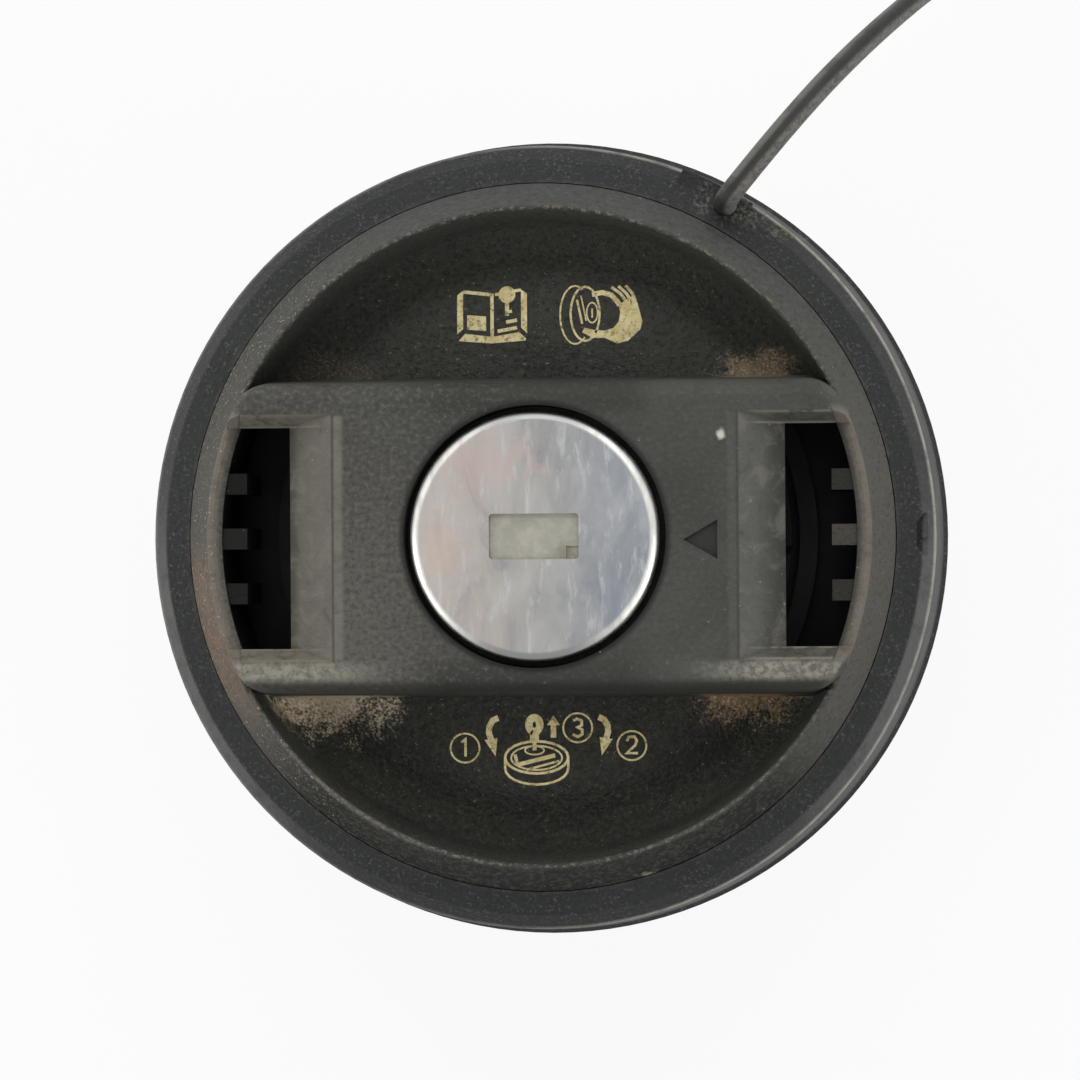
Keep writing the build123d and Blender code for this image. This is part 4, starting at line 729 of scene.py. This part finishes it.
HAND = {
    "middle": (5.9, 22.1),
    "strokes": [
        (oval((-2.6, 0), 1.5, 2.9, 60, 250), 0.18),
        (oval((-1.6, 0.1), 1.45, 2.7), 0.22),
        (oval((-0.9, 0.2), 0.55, 1.0), 0.15),
        ([(-0.9, -0.3), (-0.9, 0.6)], 0.18),
        ([(-2.4, 1.5), (-1.9, -0.9)], 0.22),
        ([(-2.0, 1.9), (-1.5, -0.6)], 0.15),
        ([(-0.9, 2.0), (0.1, 2.2), (1.0, 1.95), (1.6, 1.3), (1.85, 0.9)], 0.5),
        ([(1.0, 2.75), (1.9, 2.1), (2.5, 1.3)], 0.3),
        ([(1.7, 2.85), (2.5, 2.1), (2.95, 1.4)], 0.3),
        ([(2.4, 2.9), (3.1, 2.1), (3.4, 1.4)], 0.3),
    ],
    "fills": [
        [(-1.9, -1.75), (-1.7, -1.3), (-0.8, -1.5), (0.3, -1.6), (0.4, -2.35), (-0.9, -2.3)],
        [(0.3, -1.6), (1.2, -1.35), (1.75, -0.7), (2.7, -2.6), (1.6, -2.9), (0.4, -2.35)],
        [
            (1.75, -0.7), (1.9, 0.2), (1.75, 1.0), (2.3, 1.3), (3.2, 1.9), (3.6, 1.2), (4.1, -0.7),
            (3.9, -1.5), (2.7, -2.6),
        ],
    ],
}
CAP = {
    "middle": (-1.0, -21.1),
    "strokes": [
        (oval((0.15, -0.8), 3.15, 1.6), 0.26),
        (oval((0.15, -0.85), 2.55, 1.2), 0.18),
        ([(-3.0, -0.9), (-3.0, -1.9)], 0.24),
        ([(3.3, -0.9), (3.3, -1.9)], 0.24),
        (oval((0.15, -1.9), 3.15, 1.6, 180, 180), 0.24),
        (oval((-0.05, 2.45), 0.55, 0.7), 0.75),
        ([(-0.05, 1.9), (-0.05, 0.9)], 0.9),
        ([(-0.05, 1.0), (-0.05, -0.1)], 0.4),
        (oval((-0.05, -0.1), 0.95, 0.42), 0.16),
        ([(-1.8, -1.55), (2.0, -0.6)], 0.42),
        ([(-0.9, -2.05), (2.4, -1.15)], 0.22),
        ([(-2.0, -0.5), (-1.8, -1.4)], 0.34),
    ],
    "fills": [],
}
ARROW_LEFT = {
    "middle": (-5.3, -19.8),
    "strokes": [([(0.65, 1.85), (0.1, 1.6), (-0.25, 1.0), (-0.3, 0.35), (-0.05, -0.4)], 0.6)],
    "fills": [[(-0.75, -0.35), (0.55, -0.15), (0.35, -2.0)]],
}
ARROW_RIGHT = {
    "middle": (6.0, -19.75),
    "strokes": [([(-0.65, 1.85), (-0.1, 1.6), (0.25, 1.0), (0.3, 0.35), (0.05, -0.4)], 0.6)],
    "fills": [[(0.75, -0.35), (-0.55, -0.15), (-0.35, -2.0)]],
}
ARROW_UP = {
    "middle": (0.85, -18.9),
    "strokes": [([(0, -1.05), (0, 0.3)], 0.55)],
    "fills": [[(-0.65, 0.2), (0.65, 0.2), (0, 1.15)]],
}
DIGITS = {
    1: [(-0.35, 0.55), (0.05, 0.9), (0.05, -0.85)],
    2: [(-0.5, 0.45), (-0.3, 0.85), (0.25, 0.9), (0.5, 0.5), (0.35, 0.05), (-0.5, -0.75), (0.6, -0.75)],
    3: [
        (-0.45, 0.7), (-0.1, 0.9), (0.4, 0.7), (0.4, 0.25), (0, 0.05), (0.45, -0.2), (0.45, -0.65),
        (0, -0.9), (-0.5, -0.65),
    ],
}


def step_number(digit, middle):
    """A digit in a ring, for one of the three steps of opening the cap."""
    ring = oval((0, 0), 1.45, 1.45)
    return {"middle": middle, "strokes": [(ring, 0.19), (DIGITS[digit], 0.27)], "fills": []}


def ribbon(points, width):
    """Both sides of a stroke, with mitred corners, as a run of quads."""
    line = [Vector((*p, 0)) for p in points]
    steps = [(b - a).normalized() for a, b in zip(line, line[1:])]
    closed = (line[0] - line[-1]).length < SAME_POINT
    before_first = steps[-1] if closed else steps[0]
    after_last = steps[0] if closed else steps[-1]
    sides = []
    for point, before, after in zip(line, [before_first, *steps], [*steps, after_last]):
        along = (before + after).normalized()
        reach = width / 2 / max(MITRE_LIMIT, along.dot(after))
        across = Vector((-along.y, along.x, 0)) * reach
        sides.append((point + across, point - across))
    return [(a[0], a[1], b[1], b[0]) for a, b in zip(sides, sides[1:])]


def lay_on_cover(mesh):
    """Bring every point down on to the cover, a print's thickness above it."""
    cover = frame["nodes"]["grip_cover"]
    to_cover = cover.matrix_world.inverted()
    for vertex in mesh.verts:
        start = to_cover @ Vector((vertex.co.x, vertex.co.y, BAR_TOP))
        hit, place = cover.ray_cast(start, Vector((0, 0, -1)))[:2]
        if hit:
            vertex.co.z += (cover.matrix_world @ place).z


def make_print(drawings):
    """All drawings as one piece of ink that turns with the cover."""
    mesh = bmesh.new()
    for drawing in drawings:
        middle = Vector((*drawing["middle"], 0))
        outlines = [quad for points, width in drawing["strokes"] for quad in ribbon(points, width)]
        outlines += [[Vector((*p, 0)) for p in fill] for fill in drawing["fills"]]
        for order, outline in enumerate(outlines):
            lift = PRINT_HEIGHT + order % PRINT_STEPS * PRINT_STEP
            corners = [mesh.verts.new((middle + p) * MM + Vector((0, 0, lift))) for p in outline]
            mesh.faces.new(corners)
    bmesh.ops.triangulate(mesh, faces=mesh.faces[:])
    for _ in range(EDGE_HALVINGS):
        long_edges = [edge for edge in mesh.edges if edge.calc_length() > PRINT_EDGE]
        if long_edges:
            bmesh.ops.subdivide_edges(mesh, edges=long_edges, cuts=1)
            bmesh.ops.triangulate(mesh, faces=mesh.faces[:])
    lay_on_cover(mesh)
    bmesh.ops.recalc_face_normals(mesh, faces=mesh.faces[:])
    data = bpy.data.meshes.new("print")
    mesh.to_mesh(data)
    mesh.free()
    data.materials.append(ink_finish())
    ink = bpy.data.objects.new("print", data)
    bpy.context.scene.collection.objects.link(ink)
    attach(ink, "cover")


make_print([
    BOOK, HAND, CAP, ARROW_LEFT, ARROW_RIGHT, ARROW_UP,
    step_number(1, (-8.0, -20.95)),
    step_number(3, (3.27, -18.97)),
    step_number(2, (8.65, -20.76)),
])


# ---------------------------------------------------------------- tether
TETHER = 2.25 * MM          # thickness
# middle line in millimetres, from the elbow's end down to the table
cord_route = [
    (20.756, 35.416, 45.0),
    (24.063, 39.429, 45.0),
    (29.8, 46.1, 41.6),
    (36.2, 52.9, 33.2),
    (42.0, 58.6, 22.0),
    (47.5, 63.8, 10.4),
    (54.1, 70.0, 1.175),
    (62.4, 77.9, 1.175),
]
COIL_RADIUS = 13.5          # put-away loop, in millimetres
COIL_TURN = 265.0
COIL_POINTS_PER_TURN = 16


def cord_points():
    """The route, then the put-away loop that goes on from its last run."""
    points = [Vector(p) for p in cord_route]
    heading = (points[-1] - points[-2]).normalized()
    start_angle = math.atan2(heading.y, heading.x) - math.pi / 2
    centre = points[-1] - COIL_RADIUS * Vector((math.cos(start_angle), math.sin(start_angle), 0))
    count = round(COIL_POINTS_PER_TURN * COIL_TURN / 360)
    step = math.radians(COIL_TURN) / count
    # control points of a smooth curve stand outside the circle that it draws
    reach = COIL_RADIUS / math.cos(step / 2)
    for i in range(count):
        angle = start_angle + step * (i + 0.5)
        points.append(centre + reach * Vector((math.cos(angle), math.sin(angle), 0)))
    end_angle = start_angle + math.radians(COIL_TURN)
    points.append(centre + COIL_RADIUS * Vector((math.cos(end_angle), math.sin(end_angle), 0)))
    return [p * MM for p in points]


def make_cord():
    """The free tether and its put-away loop as one smooth cord."""
    curve = bpy.data.curves.new("tether", "CURVE")
    curve.dimensions = "3D"
    curve.bevel_depth = TETHER / 2
    curve.bevel_resolution = 6
    curve.resolution_u = 10
    curve.use_fill_caps = True
    points = cord_points()
    spline = curve.splines.new("NURBS")
    spline.points.add(len(points) - 1)
    for control, point in zip(spline.points, points):
        control.co = (*point, 1.0)
    spline.order_u = 3
    spline.use_endpoint_u = True
    cord = bpy.data.objects.new("tether", curve)
    bpy.context.scene.collection.objects.link(cord)
    cord.data.materials.append(finishes["tether_rubber"])
    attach(cord, "ring")
    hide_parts("tether_cord", "tether_coil")


make_cord()


# ---------------------------------------------------------------- floor, light and camera
CAMERA_DISTANCE = 0.400
CAMERA_LEAN_X = math.radians(4.7)
CAMERA_LEAN_Y = math.radians(-0.4)
CAMERA_ROLL = math.radians(0.4)
CAMERA_TARGET = Vector((-0.06 * MM, -0.3 * MM, SEAM))
CAMERA_FOCAL = 135.2
FLOOR_HALF = 3.0
FLOOR_GREY = 0.86
FLOOR_GLOW = 0.9            # share of plain white in what background rays see of the floor
WORLD_LIGHT = 0.4           # strength for all other rays; background rays see plain white
LIGHT_TARGET = Vector((0, 0, 0.03))
LIGHTS = (
    # name, place, width and height, watts
    ("top_box", (0, 0.7, 1.0), (1.2, 0.4), 3.4),
    ("far_box", (0, 0.95, 0.5), (1.4, 0.5), 4),
    ("left_box", (-0.96, -0.26, 0.46), (0.5, 0.8), 3.6),
    ("right_box", (0.93, -0.36, 0.46), (0.5, 0.8), 3.0),
)


def background_rays(tree):
    """1 for the rays that show the background: seen directly, mirrored or through glass."""
    rays = tree.nodes.new("ShaderNodeLightPath")
    seen = rays.outputs["Is Camera Ray"]
    for kind in ("Is Glossy Ray", "Is Transmission Ray"):
        either = tree.nodes.new("ShaderNodeMath")
        either.operation = "MAXIMUM"
        tree.links.new(seen, either.inputs[0])
        tree.links.new(rays.outputs[kind], either.inputs[1])
        seen = either.outputs[0]
    return seen


def make_floor():
    """A matt white table that doesn't grey the background."""
    mesh = bpy.data.meshes.new("floor")
    corners = [
        (-FLOOR_HALF, -FLOOR_HALF, 0),
        (FLOOR_HALF, -FLOOR_HALF, 0),
        (FLOOR_HALF, FLOOR_HALF, 0),
        (-FLOOR_HALF, FLOOR_HALF, 0),
    ]
    mesh.from_pydata(corners, [], [(0, 1, 2, 3)])
    floor = bpy.data.objects.new("floor", mesh)
    bpy.context.scene.collection.objects.link(floor)
    material = bpy.data.materials.new("floor")
    material.use_nodes = True
    tree = material.node_tree
    shader = tree.nodes["Principled BSDF"]
    shader.inputs["Base Color"].default_value = (FLOOR_GREY, FLOOR_GREY, FLOOR_GREY, 1)
    shader.inputs["Roughness"].default_value = 0.9
    shader.inputs["Specular IOR Level"].default_value = 0.0
    glow = tree.nodes.new("ShaderNodeEmission")
    glow.inputs["Strength"].default_value = 1.0
    both = tree.nodes.new("ShaderNodeMixShader")
    share = tree.nodes.new("ShaderNodeMath")
    share.operation = "MULTIPLY"
    share.inputs[1].default_value = FLOOR_GLOW
    tree.links.new(background_rays(tree), share.inputs[0])
    tree.links.new(share.outputs[0], both.inputs["Fac"])
    tree.links.new(shader.outputs[0], both.inputs[1])
    tree.links.new(glow.outputs[0], both.inputs[2])
    tree.links.new(both.outputs[0], tree.nodes["Material Output"].inputs["Surface"])
    mesh.materials.append(material)


def make_world():
    """Even white light from all round."""
    world = bpy.data.worlds.new("studio")
    bpy.context.scene.world = world
    world.use_nodes = True
    tree = world.node_tree
    background = tree.nodes["Background"]
    background.inputs["Color"].default_value = (1, 1, 1, 1)
    strength = tree.nodes.new("ShaderNodeMath")
    strength.operation = "MULTIPLY_ADD"
    strength.inputs[1].default_value = 1.0 - WORLD_LIGHT
    strength.inputs[2].default_value = WORLD_LIGHT
    tree.links.new(background_rays(tree), strength.inputs[0])
    tree.links.new(strength.outputs[0], background.inputs["Strength"])


def area_light(name, place, size, watts):
    """A soft box that is turned to the cap."""
    light = bpy.data.lights.new(name, "AREA")
    light.shape = "RECTANGLE"
    light.size, light.size_y = size
    light.energy = watts
    lamp = bpy.data.objects.new(name, light)
    lamp.location = place
    lamp.rotation_euler = (LIGHT_TARGET - Vector(place)).to_track_quat("-Z", "Y").to_euler()
    bpy.context.scene.collection.objects.link(lamp)


def make_camera():
    """A long lens above the cap, leaning a little as in the photo."""
    data = bpy.data.cameras.new("camera")
    data.lens = CAMERA_FOCAL
    data.sensor_width = 36.0
    data.clip_start = 0.02
    data.clip_end = 20.0
    camera = bpy.data.objects.new("camera", data)
    bpy.context.scene.collection.objects.link(camera)
    outward = Vector((math.sin(CAMERA_LEAN_X), math.sin(CAMERA_LEAN_Y), 1.0)).normalized()
    camera.location = CAMERA_TARGET + CAMERA_DISTANCE * outward
    up = Vector((math.sin(CAMERA_ROLL), math.cos(CAMERA_ROLL), 0))
    right = up.cross(outward).normalized()
    up = outward.cross(right)
    rotation = [[right[i], up[i], outward[i]] for i in range(3)]
    camera.rotation_euler = Matrix(rotation).to_euler()
    bpy.context.scene.camera = camera


make_floor()
make_world()
for light_row in LIGHTS:
    area_light(*light_row)
make_camera()
bpy.context.scene.view_settings.view_transform = "Standard"
